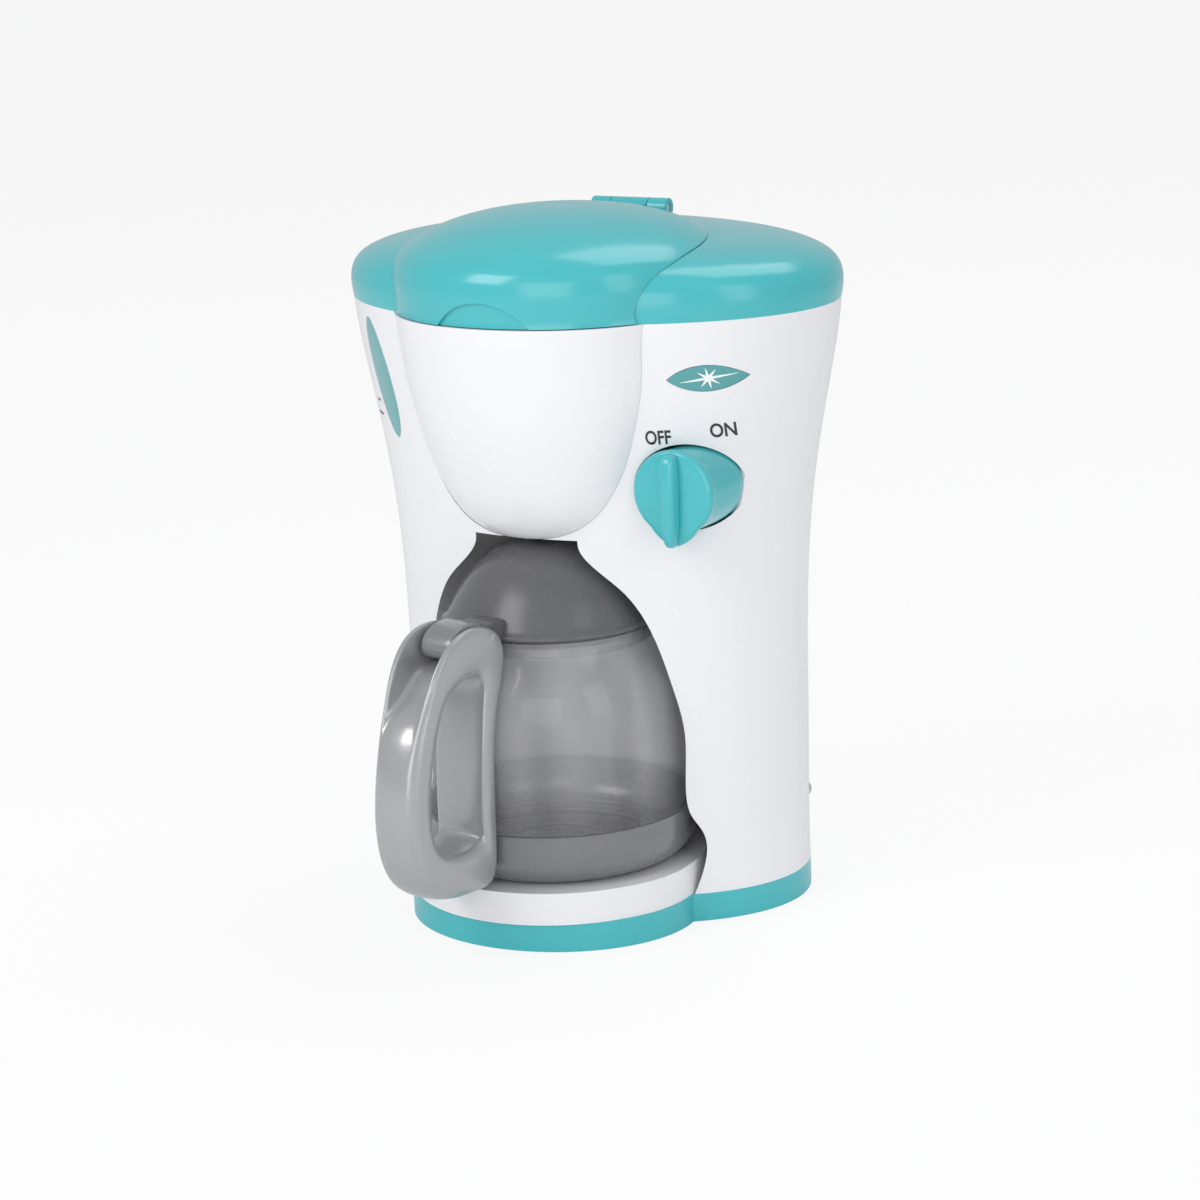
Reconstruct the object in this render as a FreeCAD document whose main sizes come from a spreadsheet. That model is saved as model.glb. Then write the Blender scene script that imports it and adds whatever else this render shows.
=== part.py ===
import FreeCAD, Part
import Sketcher
import os
import re

# Toy coffee maker, millimetres. +Z is up, -Y is the front where the carafe stands,
# and the origin is on the underside of the base, below the middle of the tower.

SIZES = {
    # Tower and its base
    "band_height": 9.65,
    "seam_height": 204.6,
    "base_half_width": 71.9,
    "waist_height": 105,
    "waist_half_width": 73.0,
    "chest_height": 158,
    "chest_half_width": 78.6,
    "shoulder_height": 185,
    "shoulder_half_width": 83.8,
    "top_half_width": 86.7,
    "plan_ratio": 0.728,
    "wall": 2.2,
    "split_y": 14,
    "floor_thickness": 2.4,
    "fit_gap": 0.15,
    "part_gap": 0.3,
    # Plate deck under the carafe
    "lobe_half_width": 50.1,
    "lobe_centre_y": 41.8,
    "lobe_depth": 44.3,
    "deck_inset": 0.4,
    "deck_height": 20.5,
    # Brew funnel, measured on the carafe's axis
    "carafe_y": 38.3,
    "funnel_bottom": 131.8,
    "funnel_half_width": 50,
    "funnel_half_depth": 39.2,
    "funnel_floor": 2.4,
    "basket_floor_height": 152,
    "basket_wall": 1.3,
    "spout_radius": 5,
    "spout_bore": 2.5,
    # Top cover and the lid of the funnel
    "cover_rise": 23,
    "cover_gap": 0.4,
    "lid_radius": 55.5,
    "lid_centre_y": 22,
    "lid_rise": 32.4,
    "lid_wall": 2.2,
    "lid_hinge_y": 29,
    "lid_hinge_rise": 2.2,
    "lid_pin_radius": 1.5,
    "knuckle_radius": 3.2,
    "knuckle_length": 14,
    "scoop_half_width": 17,
    "scoop_height": 8.5,
    "scoop_depth": 1.1,
    # Niche round the carafe
    "niche_gap": 3,
    "niche_lid_gap": 5,
    "niche_top_radius": 24,
    # Carafe
    "stand_gap": 0.3,
    "cup_radius": 46.7,
    "cup_rim": 38.5,
    "cup_wall": 1.6,
    "jug_wall": 1.5,
    "jug_radius": 46.2,
    "neck_height": 101,
    "neck_radius": 36.1,
    "carafe_lid_top": 128,
    "carafe_lid_wall": 1.8,
    "plug_depth": 5,
    "plug_gap": 1,
    "lid_flange": 1.1,
    "vent_radius": 3.5,
    # Carafe handle, radii from the carafe's axis
    "handle_turn": 7,
    "handle_width": 21,
    "handle_foot": 22,
    "handle_top": 112,
    "grip_reach": 91,
    "grip_mid_reach": 88.5,
    "grip_mid_height": 68,
    "grip_top_reach": 66,
    "grip_thickness": 12,
    "strap_outer": 50,
    "gap_bottom": 39.5,
    "gap_top": 93,
    "lever_width": 12,
    "lever_reach": 62,
    "lever_floor": 101.5,
    "carafe_pin_reach": 46,
    "carafe_pin_height": 106,
    "carafe_pin_radius": 1.4,
    # Knob and switch
    "knob_x": 53.5,
    "knob_z": 149.5,
    "knob_radius": 14.5,
    "knob_face_y": 51,
    "knob_back_y": 27,
    "grip_blade": 5.5,
    "grip_rise": 4,
    "pointer_out": 3.5,
    "shaft_radius": 3,
    "switch_side": 18,
    "switch_depth": 10,
    "switch_y": 20,
    "post_offset": 18.5,
    "post_radius": 3,
    # Indicator lamp
    "lens_x": 62,
    "lens_z": 186,
    "lens_length": 21,
    "lens_height": 8.6,
    "led_radius": 2.5,
    # Level gauge
    "gauge_half_width": 6.5,
    "gauge_half_height": 20.5,
    "gauge_x": 58.5,
    "gauge_y": 42,
    "gauge_z": 180,
    "gauge_turn": 37,
    "gauge_lean": 11,
    # Battery bay
    "cell_radius": 7.25,
    "cell_length": 50.5,
    "cell_pitch": 16,
    "cell_y": 36,
    "bay_bottom": 26,
    "bay_wall": 1.6,
    "contact_space": 2.2,
    "door_half_width": 27,
    "door_screw_rise": 4.5,
    # Electronics
    "board_half_width": 28,
    "board_bottom": 102,
    "board_top": 140,
    "board_y": 34,
    "board_thickness": 1.6,
    "speaker_radius": 18,
    "speaker_z": 168,
    "speaker_y": 50.5,
    # Screws and pads
    "screw_radius": 1.4,
    "head_radius": 3,
    "head_height": 2,
    "pad_radius": 7,
    "pad_depth": 1.2,
}

doc = FreeCAD.newDocument("toy_coffee_maker")
sheet = doc.addObject("Spreadsheet::Sheet", "Sizes")
for row, (alias, value) in enumerate(SIZES.items(), start=1):
    sheet.set(f"A{row}", alias)
    sheet.set(f"B{row}", str(value))
    sheet.setAlias(f"B{row}", alias)
doc.recompute()

ALONG = {
    "Z": FreeCAD.Rotation(),
    "Y": FreeCAD.Rotation(FreeCAD.Vector(1, 0, 0), -90),
    "X": FreeCAD.Rotation(FreeCAD.Vector(0, 1, 0), 90),
}
nodes = []


def bound(text):
    """Points each size named in an expression at its cell."""
    return re.sub(
        r"[a-z_]+",
        lambda word: "Sizes." + word[0] if word[0] in SIZES else word[0],
        str(text),
    )


def place(piece, spot, turn=None):
    if turn is not None:
        piece.Placement = FreeCAD.Placement(FreeCAD.Vector(), turn)
    for letter, text in zip("xyz", spot):
        piece.setExpression(".Placement.Base." + letter, bound(text))
    return piece


def box(name, low, size):
    piece = doc.addObject("Part::Box", name)
    for prop, text in zip(("Length", "Width", "Height"), size):
        piece.setExpression(prop, bound(text))
    return place(piece, low)


def cylinder(name, spot, radius, length, along="Z"):
    piece = doc.addObject("Part::Cylinder", name)
    piece.setExpression("Radius", bound(radius))
    piece.setExpression("Height", bound(length))
    return place(piece, spot, ALONG[along])


def oval(name, spot, half_x, half_y):
    edge = doc.addObject("Part::Ellipse", name)
    edge.setExpression("MajorRadius", bound(half_x))
    edge.setExpression("MinorRadius", bound(half_y))
    return place(edge, spot)


def loft(name, rows, ruled=False):
    """A solid through ovals: each row is height, half width, half depth, centre y."""
    lofted = doc.addObject("Part::Loft", name)
    lofted.Sections = [
        oval(f"{name}_{number}", ("0", row[3], row[0]), row[1], row[2])
        for number, row in enumerate(rows)
    ]
    lofted.Solid = True
    lofted.Ruled = ruled
    return lofted


def prism(name, spot, half_x, half_y, length):
    solid = doc.addObject("Part::Extrusion", name)
    solid.Base = oval(name + "_plan", spot, half_x, half_y)
    solid.DirMode = "Custom"
    solid.Dir = FreeCAD.Vector(0, 0, 1)
    solid.setExpression("LengthFwd", bound(length))
    solid.Solid = True
    return solid


def fuse(name, *pieces):
    joined = doc.addObject("Part::MultiFuse", name)
    joined.Shapes = list(pieces)
    return joined


def cut(name, base, *tools):
    result = doc.addObject("Part::Cut", name)
    result.Base = base
    result.Tool = tools[0] if len(tools) == 1 else fuse(name + "_tools", *tools)
    return result


def common(name, *pieces):
    result = doc.addObject("Part::MultiCommon", name)
    result.Shapes = list(pieces)
    return result


def group(name, *pieces):
    gathered = doc.addObject("Part::Compound", name)
    gathered.Links = list(pieces)
    return gathered


def node(piece, label):
    piece.Label = label
    nodes.append(piece)
    return piece


def screw(name, spot, length, along="Y"):
    """A screw whose head starts at the spot and whose shank runs on along the axis."""
    x, y, z = spot
    back = {"Y": (x, f"{y} - ({length})", z), "Z": (x, y, f"{z} + head_height")}[along]
    head = cylinder(name + "_head", spot, "head_radius", "head_height", along)
    shank = cylinder(name + "_shank", back, "screw_radius", length, along)
    return fuse(name, head, shank)


def tower_rows(inset, low, high):
    """The tower's ovals from its band to its seam, drawn in by an inset."""
    stations = (
        (low, "base_half_width"),
        ("waist_height * 0.6", "base_half_width * 0.7 + waist_half_width * 0.3"),
        ("waist_height", "waist_half_width"),
        ("chest_height", "chest_half_width"),
        ("shoulder_height", "shoulder_half_width"),
        (high, "top_half_width"),
    )
    return [
        (height, f"({half}) - ({inset})", f"({half}) * plan_ratio - ({inset})", "0")
        for height, half in stations
    ]


def funnel_rows(inset, low="funnel_bottom"):
    """The funnel's ovals, from its small bottom to its rim under the lid."""
    shares = (
        (0.00, 0.38, 0.43),
        (0.05, 0.52, 0.55),
        (0.12, 0.62, 0.64),
        (0.22, 0.71, 0.72),
        (0.34, 0.79, 0.79),
        (0.48, 0.855, 0.86),
        (0.64, 0.92, 0.91),
        (0.80, 0.965, 0.95),
        (1.00, 1.00, 1.00),
    )
    return [
        (
            f"{low} + {rise} * (seam_height - ({low}))",
            f"funnel_half_width * {wide} - ({inset})",
            f"funnel_half_depth * {deep} - ({inset})",
            "-carafe_y",
        )
        for rise, wide, deep in shares
    ]


def round_rows(stations, grow="0"):
    """Circles on the carafe's axis: each station is a height and a radius."""
    return [
        (height, f"({radius}) + ({grow})", f"({radius}) + ({grow})", "-carafe_y")
        for height, radius in stations
    ]


def cover_rows(grow, below="0"):
    """The top cover's ovals: an upright edge, a rounded shoulder and a low dome."""
    shares = (
        (0.00, 1.000),
        (0.28, 1.008),
        (0.53, 0.985),
        (0.71, 0.915),
        (0.85, 0.780),
        (0.95, 0.560),
        (1.00, 0.250),
    )
    return [
        (
            f"seam_height + {rise} * (cover_rise + ({grow})) - {1 - rise} * ({below})",
            f"top_half_width * {share} + ({grow})",
            f"top_half_width * plan_ratio * {share} + ({grow})",
            "0",
        )
        for rise, share in shares
    ]


def lid_rows(inset):
    """The funnel lid's circles: an upright skirt and a rounded, higher dome."""
    shares = (
        (0.00, 1.000),
        (0.30, 1.009),
        (0.55, 0.975),
        (0.70, 0.870),
        (0.84, 0.690),
        (0.95, 0.430),
        (1.00, 0.150),
    )
    return [
        (
            f"seam_height + part_gap + {rise} * (lid_rise - part_gap - ({inset}))",
            f"lid_radius * {share} - ({inset})",
            f"lid_radius * {share} - ({inset})",
            "-lid_centre_y",
        )
        for rise, share in shares
    ]


def plan(name, inset, low, high):
    """The base's plan: the tower's oval with the deck's round lobe in front."""
    height = f"({high}) - ({low})"
    tower = prism(
        name + "_oval",
        ("0", "0", low),
        f"base_half_width - ({inset})",
        f"base_half_width * plan_ratio - ({inset})",
        height,
    )
    lobe = prism(
        name + "_lobe",
        ("0", "-lobe_centre_y", low),
        f"lobe_half_width - ({inset})",
        f"lobe_depth - ({inset})",
        height,
    )
    return fuse(name, tower, lobe)


BASE_SCREWS = (("58", "0"), ("-58", "0"), ("16", "-72"), ("-16", "-72"), ("0", "40"))
PADS = (("36", "-57"), ("-36", "-57"), ("46", "26"), ("-46", "26"))
HOUSING_SCREWS = (
    ("base_half_width - 7.5", "32"),
    ("7.5 - base_half_width", "32"),
    ("top_half_width - 9.5", "190"),
    ("9.5 - top_half_width", "190"),
)

# Base pan: the coloured band with its floor and screw towers
pan_screw_holes = [
    cylinder(f"pan_hole_{n}", (x, y, "-1"), "screw_radius + fit_gap", "band_height + 2")
    for n, (x, y) in enumerate(BASE_SCREWS)
]
pan_head_holes = [
    cylinder(f"pan_sink_{n}", (x, y, "-1"), "head_radius + part_gap", "1 + head_height * 2")
    for n, (x, y) in enumerate(BASE_SCREWS)
]
pan_pockets = [
    cylinder(f"pan_pocket_{n}", (x, y, "-1"), "pad_radius + fit_gap", "1 + pad_depth")
    for n, (x, y) in enumerate(PADS)
]
pan_towers = [
    cylinder(f"pan_tower_{n}", (x, y, "0"), "head_radius + wall", "band_height")
    for n, (x, y) in enumerate(BASE_SCREWS)
]
pan_outer = plan("pan_outer", "0", "0", "band_height")
pan_inner = plan("pan_inner", "wall", "floor_thickness", "band_height + 1")
pan_shell = cut("pan_shell", pan_outer, pan_inner)
pan_body = fuse("pan_body", pan_shell, *pan_towers)
base_pan = node(
    cut("base_pan", pan_body, *pan_screw_holes, *pan_head_holes, *pan_pockets),
    "base_pan",
)
foot_pads = node(
    group(
        "foot_pads",
        *[
            cylinder(f"pad_{n}", (x, y, "0"), "pad_radius", "pad_depth")
            for n, (x, y) in enumerate(PADS)
        ],
    ),
    "foot_pads",
)
base_screws = node(
    group(
        "base_screws",
        *[
            screw(f"base_screw_{n}", (x, y, "head_height"), "band_height", "Z")
            for n, (x, y) in enumerate(BASE_SCREWS)
        ],
    ),
    "base_screws",
)


def deck_plan(name, inset, low, high):
    """The deck: a round lobe in front, a full circle under the carafe behind."""
    height = f"({high}) - ({low})"
    front = prism(
        name + "_front",
        ("0", "-lobe_centre_y", low),
        f"lobe_half_width - ({inset})",
        f"lobe_depth - ({inset})",
        height,
    )
    back = cylinder(
        name + "_back", ("0", "-carafe_y", low), f"lobe_half_width - ({inset})", height
    )
    return fuse(name, front, back)


# Plate deck: the white lobe that the carafe stands on
deck_outer = deck_plan("deck_outer", "deck_inset", "band_height", "deck_height")
deck_inner = deck_plan(
    "deck_inner", "deck_inset + wall", "band_height - 1", "deck_height - wall"
)
deck_posts = [
    cylinder(f"deck_post_{n}", (x, y, "band_height"), "head_radius + 1", "deck_height - band_height - 1")
    for n, (x, y) in enumerate(BASE_SCREWS[2:4])
]
deck_holes = [
    cylinder(f"deck_hole_{n}", (x, y, "0"), "screw_radius + fit_gap", "deck_height - wall")
    for n, (x, y) in enumerate(BASE_SCREWS[2:4])
]
deck_shell = cut("deck_shell", deck_outer, deck_inner)
deck_body = fuse("deck_body", deck_shell, *deck_posts)
plate_deck = node(cut("plate_deck", deck_body, *deck_holes), "plate_deck")

# Carafe profile, shared by the carafe and by the niche round it
JUG = (
    ("cup_rim + part_gap", "jug_radius"),
    ("cup_rim + 14", "jug_radius - 0.2"),
    ("cup_rim + 27", "jug_radius - 0.4"),
    ("cup_rim + 36", "jug_radius - 1.1"),
    ("cup_rim + 43", "jug_radius * 0.6 + neck_radius * 0.4 + 1.9"),
    ("neck_height - 11", "jug_radius * 0.35 + neck_radius * 0.65 + 0.4"),
    ("neck_height", "neck_radius"),
)
LID = (
    ("0.00", "1.000"),
    ("0.15", "0.955"),
    ("0.33", "0.870"),
    ("0.52", "0.770"),
    ("0.70", "0.660"),
    ("0.85", "0.545"),
    ("0.96", "0.410"),
    ("1.00", "0.300"),
)


def lid_dome(low, rise, radius):
    return [
        (f"{low} + {height} * ({rise})", f"({radius}) * {share}") for height, share in LID
    ]


# Tower housing, split into a front and a rear half behind the niche
tower_outer = loft("tower_outer", tower_rows("0", "band_height", "seam_height"))
tower_inner = loft("tower_inner", tower_rows("wall", "band_height - 1", "seam_height + 1"))
tower_shell = cut("tower_shell", tower_outer, tower_inner)


def niche_rows(grow, low, high):
    gap = f"niche_gap + ({grow})"
    above = f"niche_lid_gap + ({grow})"
    return round_rows(
        (
            (low, f"cup_radius + {gap}"),
            ("cup_rim", f"cup_radius + {gap}"),
            ("cup_rim + 27", f"jug_radius + {gap}"),
            ("neck_height - 20", f"neck_radius + 7.4 + {gap}"),
            ("neck_height", f"neck_radius + {above}"),
            ("neck_height + 14", f"neck_radius * 0.8 + {above}"),
            ("carafe_lid_top - 3", f"neck_radius * 0.57 + {above}"),
            (high, f"niche_top_radius + ({grow})"),
        )
    )


niche_cavity = loft("niche_cavity", niche_rows("0", "band_height - 2", "funnel_bottom"))
niche_block = loft(
    "niche_block", niche_rows("wall", "band_height", "funnel_bottom + wall")
)
funnel_room = loft("funnel_room", funnel_rows("-fit_gap", "funnel_bottom - 0.1"))
deck_room = deck_plan("deck_room", "deck_inset - fit_gap", "band_height - 1", "deck_height")

knob_hole = cylinder(
    "knob_hole", ("knob_x", "-90", "knob_z"), "knob_radius + part_gap", "90 - knob_back_y", "Y"
)


def at_post(sign):
    return f"knob_z {sign} post_offset"


switch_posts = [
    cylinder(
        f"switch_post_{n}",
        ("knob_x", "-60", at_post(sign)),
        "post_radius",
        "60 - switch_y",
        "Y",
    )
    for n, sign in enumerate("+-")
]
switch_post_holes = [
    cylinder(
        f"switch_post_hole_{n}",
        ("knob_x", "-switch_y - 8", at_post(sign)),
        "screw_radius + fit_gap",
        "9",
        "Y",
    )
    for n, sign in enumerate("+-")
]


def lens_shape(name, grow):
    """An eye shape between two round arcs, running through the wall."""
    radius = f"(lens_length * lens_length + lens_height * lens_height) / (4 * lens_height) + ({grow})"
    drop = "(lens_length * lens_length + lens_height * lens_height) / (4 * lens_height) - lens_height / 2"
    arcs = [
        cylinder(
            f"{name}_{n}", ("lens_x", "-70", f"lens_z {sign} ({drop})"), radius, "50", "Y"
        )
        for n, sign in enumerate("+-")
    ]
    return common(name, *arcs)


def gauge_shape(name, grow):
    """A slim upright oval, square to the tower's side and leaning with it."""
    turn = FreeCAD.Rotation(FreeCAD.Vector(0, 0, 1), -SIZES["gauge_turn"])
    lean = FreeCAD.Rotation(FreeCAD.Vector(0, 1, 0), -SIZES["gauge_lean"])
    upright = FreeCAD.Rotation(
        FreeCAD.Vector(0, 0, 1), FreeCAD.Vector(1, 0, 0), FreeCAD.Vector(0, 1, 0), "ZXY"
    )
    rim = oval(
        name + "_rim",
        ("0", "0", "0"),
        f"gauge_half_height + ({grow})",
        f"gauge_half_width + ({grow})",
    )
    solid = doc.addObject("Part::Extrusion", name)
    solid.Base = rim
    solid.DirMode = "Custom"
    solid.Dir = FreeCAD.Vector(0, 0, 1)
    solid.LengthFwd = 12
    solid.LengthRev = 12
    solid.Solid = True
    spot = ("-gauge_x", "-gauge_y", "gauge_z")
    return place(solid, spot, turn * lean * upright)


lens_hole = lens_shape("lens_hole", "fit_gap")
gauge_hole = gauge_shape("gauge_hole", "fit_gap")
led_tube = cylinder("led_tube", ("lens_x", "-60", "lens_z"), "led_radius + 1.4", "32", "Y")
led_hole = cylinder("led_hole", ("lens_x", "-60", "lens_z"), "led_radius + 0.05", "40", "Y")
TOWER_SCREWS = (*BASE_SCREWS[:2], BASE_SCREWS[4])
base_posts = [
    cylinder(f"base_post_{n}", (x, y, "band_height"), "head_radius + 1", "14")
    for n, (x, y) in enumerate(TOWER_SCREWS)
]
base_post_holes = [
    cylinder(f"base_post_hole_{n}", (x, y, "0"), "screw_radius + fit_gap", "band_height + 12")
    for n, (x, y) in enumerate(TOWER_SCREWS)
]
side_ribs = [
    box("rib_right", ("58", "-1.2", "band_height"), ("base_half_width - 59", "2.4", "14")),
    box("rib_left", ("1 - base_half_width", "-1.2", "band_height"), ("base_half_width - 59", "2.4", "14")),
]
back_rib = box(
    "rib_back", ("-1.2", "40", "band_height"), ("2.4", "base_half_width * plan_ratio - 41", "14")
)
front_bosses = [
    cylinder(f"front_boss_{n}", (x, "split_y - 12", z), "head_radius + wall", "12", "Y")
    for n, (x, z) in enumerate(HOUSING_SCREWS)
]
rear_bosses = [
    cylinder(f"rear_boss_{n}", (x, "split_y", z), "head_radius + wall", "40", "Y")
    for n, (x, z) in enumerate(HOUSING_SCREWS)
]
housing_holes = [
    cylinder(f"housing_hole_{n}", (x, "split_y - 11", z), "screw_radius + fit_gap", "30", "Y")
    for n, (x, z) in enumerate(HOUSING_SCREWS)
]
housing_sinks = [
    cylinder(f"housing_sink_{n}", (x, "split_y + 4", z), "head_radius + part_gap", "60", "Y")
    for n, (x, z) in enumerate(HOUSING_SCREWS)
]

front_half = box("front_half", ("-100", "-100", "0"), ("200", "100 + split_y", "seam_height + 20"))
rear_half = box("rear_half", ("-100", "split_y", "0"), ("200", "100", "seam_height + 20"))
front_blank = common("front_blank", tower_outer, front_half)
front_hollow = cut(
    "front_hollow",
    tower_inner,
    niche_block,
    led_tube,
    *switch_posts,
    *base_posts[:2],
    *side_ribs,
    *front_bosses,
)
front_housing = node(
    cut(
        "front_housing",
        front_blank,
        front_hollow,
        niche_cavity,
        funnel_room,
        deck_room,
        knob_hole,
        lens_hole,
        gauge_hole,
        led_hole,
        *switch_post_holes,
        *base_post_holes[:2],
        *housing_holes,
    ),
    "front_housing",
)

# Rear half with the battery opening, the speaker ring and the board's bosses
bay_top = "(bay_bottom + 2 * bay_wall + 2 * contact_space + cell_length)"
door_top = f"({bay_top} + 2 * door_screw_rise)"
screw_z = f"({bay_top} + door_screw_rise)"
BOARD_CORNERS = [
    (f"{side} * (board_half_width - 4)", f"{edge} {inward} 4")
    for side in (1, -1)
    for edge, inward in (("board_bottom", "+"), ("board_top", "-"))
]
door_opening = box(
    "door_opening",
    ("-door_half_width - part_gap", "20", "bay_bottom - part_gap"),
    ("2 * (door_half_width + part_gap)", "60", f"{door_top} - bay_bottom + 2 * part_gap"),
)
speaker_ring = cylinder(
    "speaker_ring", ("0", "speaker_y - 3", "speaker_z"), "speaker_radius + part_gap + wall", "30", "Y"
)
speaker_room = cylinder(
    "speaker_room", ("0", "speaker_y - 20", "speaker_z"), "speaker_radius + part_gap", "23", "Y"
)
board_bosses = [
    cylinder(f"board_boss_{n}", (x, "board_y + board_thickness", z), "2.8", "30", "Y")
    for n, (x, z) in enumerate(BOARD_CORNERS)
]
board_boss_holes = [
    cylinder(f"board_boss_hole_{n}", (x, "board_y", z), "screw_radius + fit_gap", "9", "Y")
    for n, (x, z) in enumerate(BOARD_CORNERS)
]
sound_holes = [
    cylinder(f"sound_hole_{n}", (f"{dx} * 7", "speaker_y", f"speaker_z + {dz} * 7"), "1.5", "30", "Y")
    for n, (dx, dz) in enumerate((dx, dz) for dx in (-1, 0, 1) for dz in (-1, 0, 1))
]
rear_blank = common("rear_blank", tower_outer, rear_half)
rear_hollow = cut(
    "rear_hollow",
    tower_inner,
    speaker_ring,
    *board_bosses,
    base_posts[2],
    back_rib,
    *rear_bosses,
)
rear_housing = node(
    cut(
        "rear_housing",
        rear_blank,
        rear_hollow,
        door_opening,
        speaker_room,
        base_post_holes[2],
        *board_boss_holes,
        *sound_holes,
        *housing_holes,
        *housing_sinks,
    ),
    "rear_housing",
)
housing_screws = node(
    group(
        "housing_screws",
        *[
            screw(f"housing_screw_{n}", (x, "split_y + 4", z), "12")
            for n, (x, z) in enumerate(HOUSING_SCREWS)
        ],
    ),
    "housing_screws",
)

# Brew funnel, its basket and the spout under it
funnel_outer = loft("funnel_outer", funnel_rows("0"))
funnel_inner = loft("funnel_inner", funnel_rows("wall", "(funnel_bottom + funnel_floor)"))
funnel_cup = cut("funnel_cup", funnel_outer, funnel_inner)
spout_hole = cylinder(
    "spout_hole", ("0", "-carafe_y", "funnel_bottom - 5"), "spout_radius + fit_gap", "12"
)
brew_funnel = node(cut("brew_funnel", funnel_cup, spout_hole), "brew_funnel")
spout_tube = cylinder(
    "spout_tube", ("0", "-carafe_y", "funnel_bottom"), "spout_radius", "funnel_floor + 2"
)
spout_flange = cylinder(
    "spout_flange", ("0", "-carafe_y", "funnel_bottom + funnel_floor"), "spout_radius + 2", "1.5"
)
spout_bore_hole = cylinder(
    "spout_bore_hole", ("0", "-carafe_y", "funnel_bottom - 5"), "spout_bore", "20"
)
drip_spout = node(
    cut("drip_spout", fuse("spout_body", spout_tube, spout_flange), spout_bore_hole),
    "drip_spout",
)
basket_outer = loft("basket_outer", funnel_rows("wall + part_gap", "(funnel_bottom + funnel_floor)"))
basket_inner = loft(
    "basket_inner", funnel_rows("wall + part_gap + basket_wall", "(funnel_bottom + funnel_floor)")
)
basket_keep = box(
    "basket_keep",
    ("-100", "-100", "basket_floor_height"),
    ("200", "200", "seam_height - basket_floor_height - 1"),
)
basket_hollow = box(
    "basket_hollow", ("-100", "-100", "basket_floor_height + basket_wall"), ("200", "200", "100")
)
basket_drain = cylinder(
    "basket_drain", ("0", "-carafe_y", "basket_floor_height - 5"), "spout_bore", "20"
)
basket_cavity = common("basket_cavity", basket_inner, basket_hollow)
basket_blank = common("basket_blank", basket_outer, basket_keep)
filter_basket = node(
    cut("filter_basket", basket_blank, basket_cavity, basket_drain), "filter_basket"
)

# Top cover with the opening over the funnel
cover_outer = loft("cover_outer", cover_rows("0"))
cover_inner = loft("cover_inner", cover_rows("-wall", "1"))
cover_opening = prism(
    "cover_opening",
    ("0", "-carafe_y", "seam_height - 10"),
    "funnel_half_width - wall",
    "funnel_half_depth - wall",
    "60",
)
hinge_z = "(seam_height + cover_rise + lid_hinge_rise)"
cover_knuckles = [
    cylinder(f"cover_knuckle_{n}", (start, "lid_hinge_y", hinge_z), "knuckle_radius", "7", "X")
    for n, start in enumerate(("knuckle_length / 2 + part_gap", "-knuckle_length / 2 - part_gap - 7"))
]
hinge_pin_hole = cylinder(
    "hinge_pin_hole", ("-20", "lid_hinge_y", hinge_z), "lid_pin_radius + 0.05", "40", "X"
)
lid_knuckle_room = cylinder(
    "lid_knuckle_room",
    ("-knuckle_length / 2 - part_gap", "lid_hinge_y", hinge_z),
    "knuckle_radius + 0.4",
    "knuckle_length + 2 * part_gap",
    "X",
)
cover_lugs = [
    box(
        f"cover_lug_{n}",
        (start, "lid_hinge_y - 2.5", "seam_height + cover_rise - wall"),
        ("7", "5", "lid_hinge_rise + wall"),
    )
    for n, start in enumerate(("knuckle_length / 2 + part_gap", "-knuckle_length / 2 - part_gap - 7"))
]
cover_shell = cut("cover_shell", cover_outer, cover_inner)
cover_ring = cut("cover_ring", cover_shell, cover_opening)
cover_hinged = fuse("cover_hinged", cover_ring, *cover_knuckles, *cover_lugs)
top_cover = node(
    cut("top_cover", cover_hinged, hinge_pin_hole, lid_knuckle_room), "top_cover"
)
lid_hinge_pin = node(
    cylinder(
        "lid_hinge_pin",
        ("-knuckle_length / 2 - 7", "lid_hinge_y", hinge_z),
        "lid_pin_radius",
        "knuckle_length + 14",
        "X",
    ),
    "lid_hinge_pin",
)

# Funnel lid: a dome that rests on the cover and hangs its skirt over the funnel's front
lid_outer = loft("lid_outer", lid_rows("0"))
lid_inner = loft("lid_inner", lid_rows("lid_wall"))
lid_shell = cut("lid_shell", lid_outer, lid_inner)
cover_room = loft("cover_room", cover_rows("cover_gap", "1"))
lid_knuckle = cylinder(
    "lid_knuckle", ("-knuckle_length / 2", "lid_hinge_y", hinge_z), "knuckle_radius", "knuckle_length", "X"
)
scoop_radius = "((scoop_half_width * scoop_half_width + scoop_height * scoop_height) / (2 * scoop_height))"
scoop_round = cylinder(
    "scoop_round",
    ("0", "-100", f"seam_height + scoop_height - {scoop_radius}"),
    scoop_radius,
    "60",
    "Y",
)
scoop_limit = loft("scoop_limit", lid_rows("scoop_depth"))
scoop = cut("scoop", scoop_round, scoop_limit)
lid_side_rooms = [
    cylinder(f"lid_side_room_{n}", (start, "lid_hinge_y", hinge_z), "knuckle_radius + 0.4", "7.6", "X")
    for n, start in enumerate(("knuckle_length / 2", "-knuckle_length / 2 - 7.6"))
]
lid_seated = cut("lid_seated", lid_shell, cover_room, scoop, *lid_side_rooms)
lid_web = cut(
    "lid_web",
    box(
        "lid_web_block",
        ("-knuckle_length / 2", "lid_hinge_y - 14", f"{hinge_z} - 1.4"),
        ("knuckle_length", "14", "2.8"),
    ),
    lid_inner,
)
lid_hinged = fuse("lid_hinged", lid_seated, lid_knuckle, lid_web)
funnel_lid = node(cut("funnel_lid", lid_hinged, hinge_pin_hole), "funnel_lid")

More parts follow.
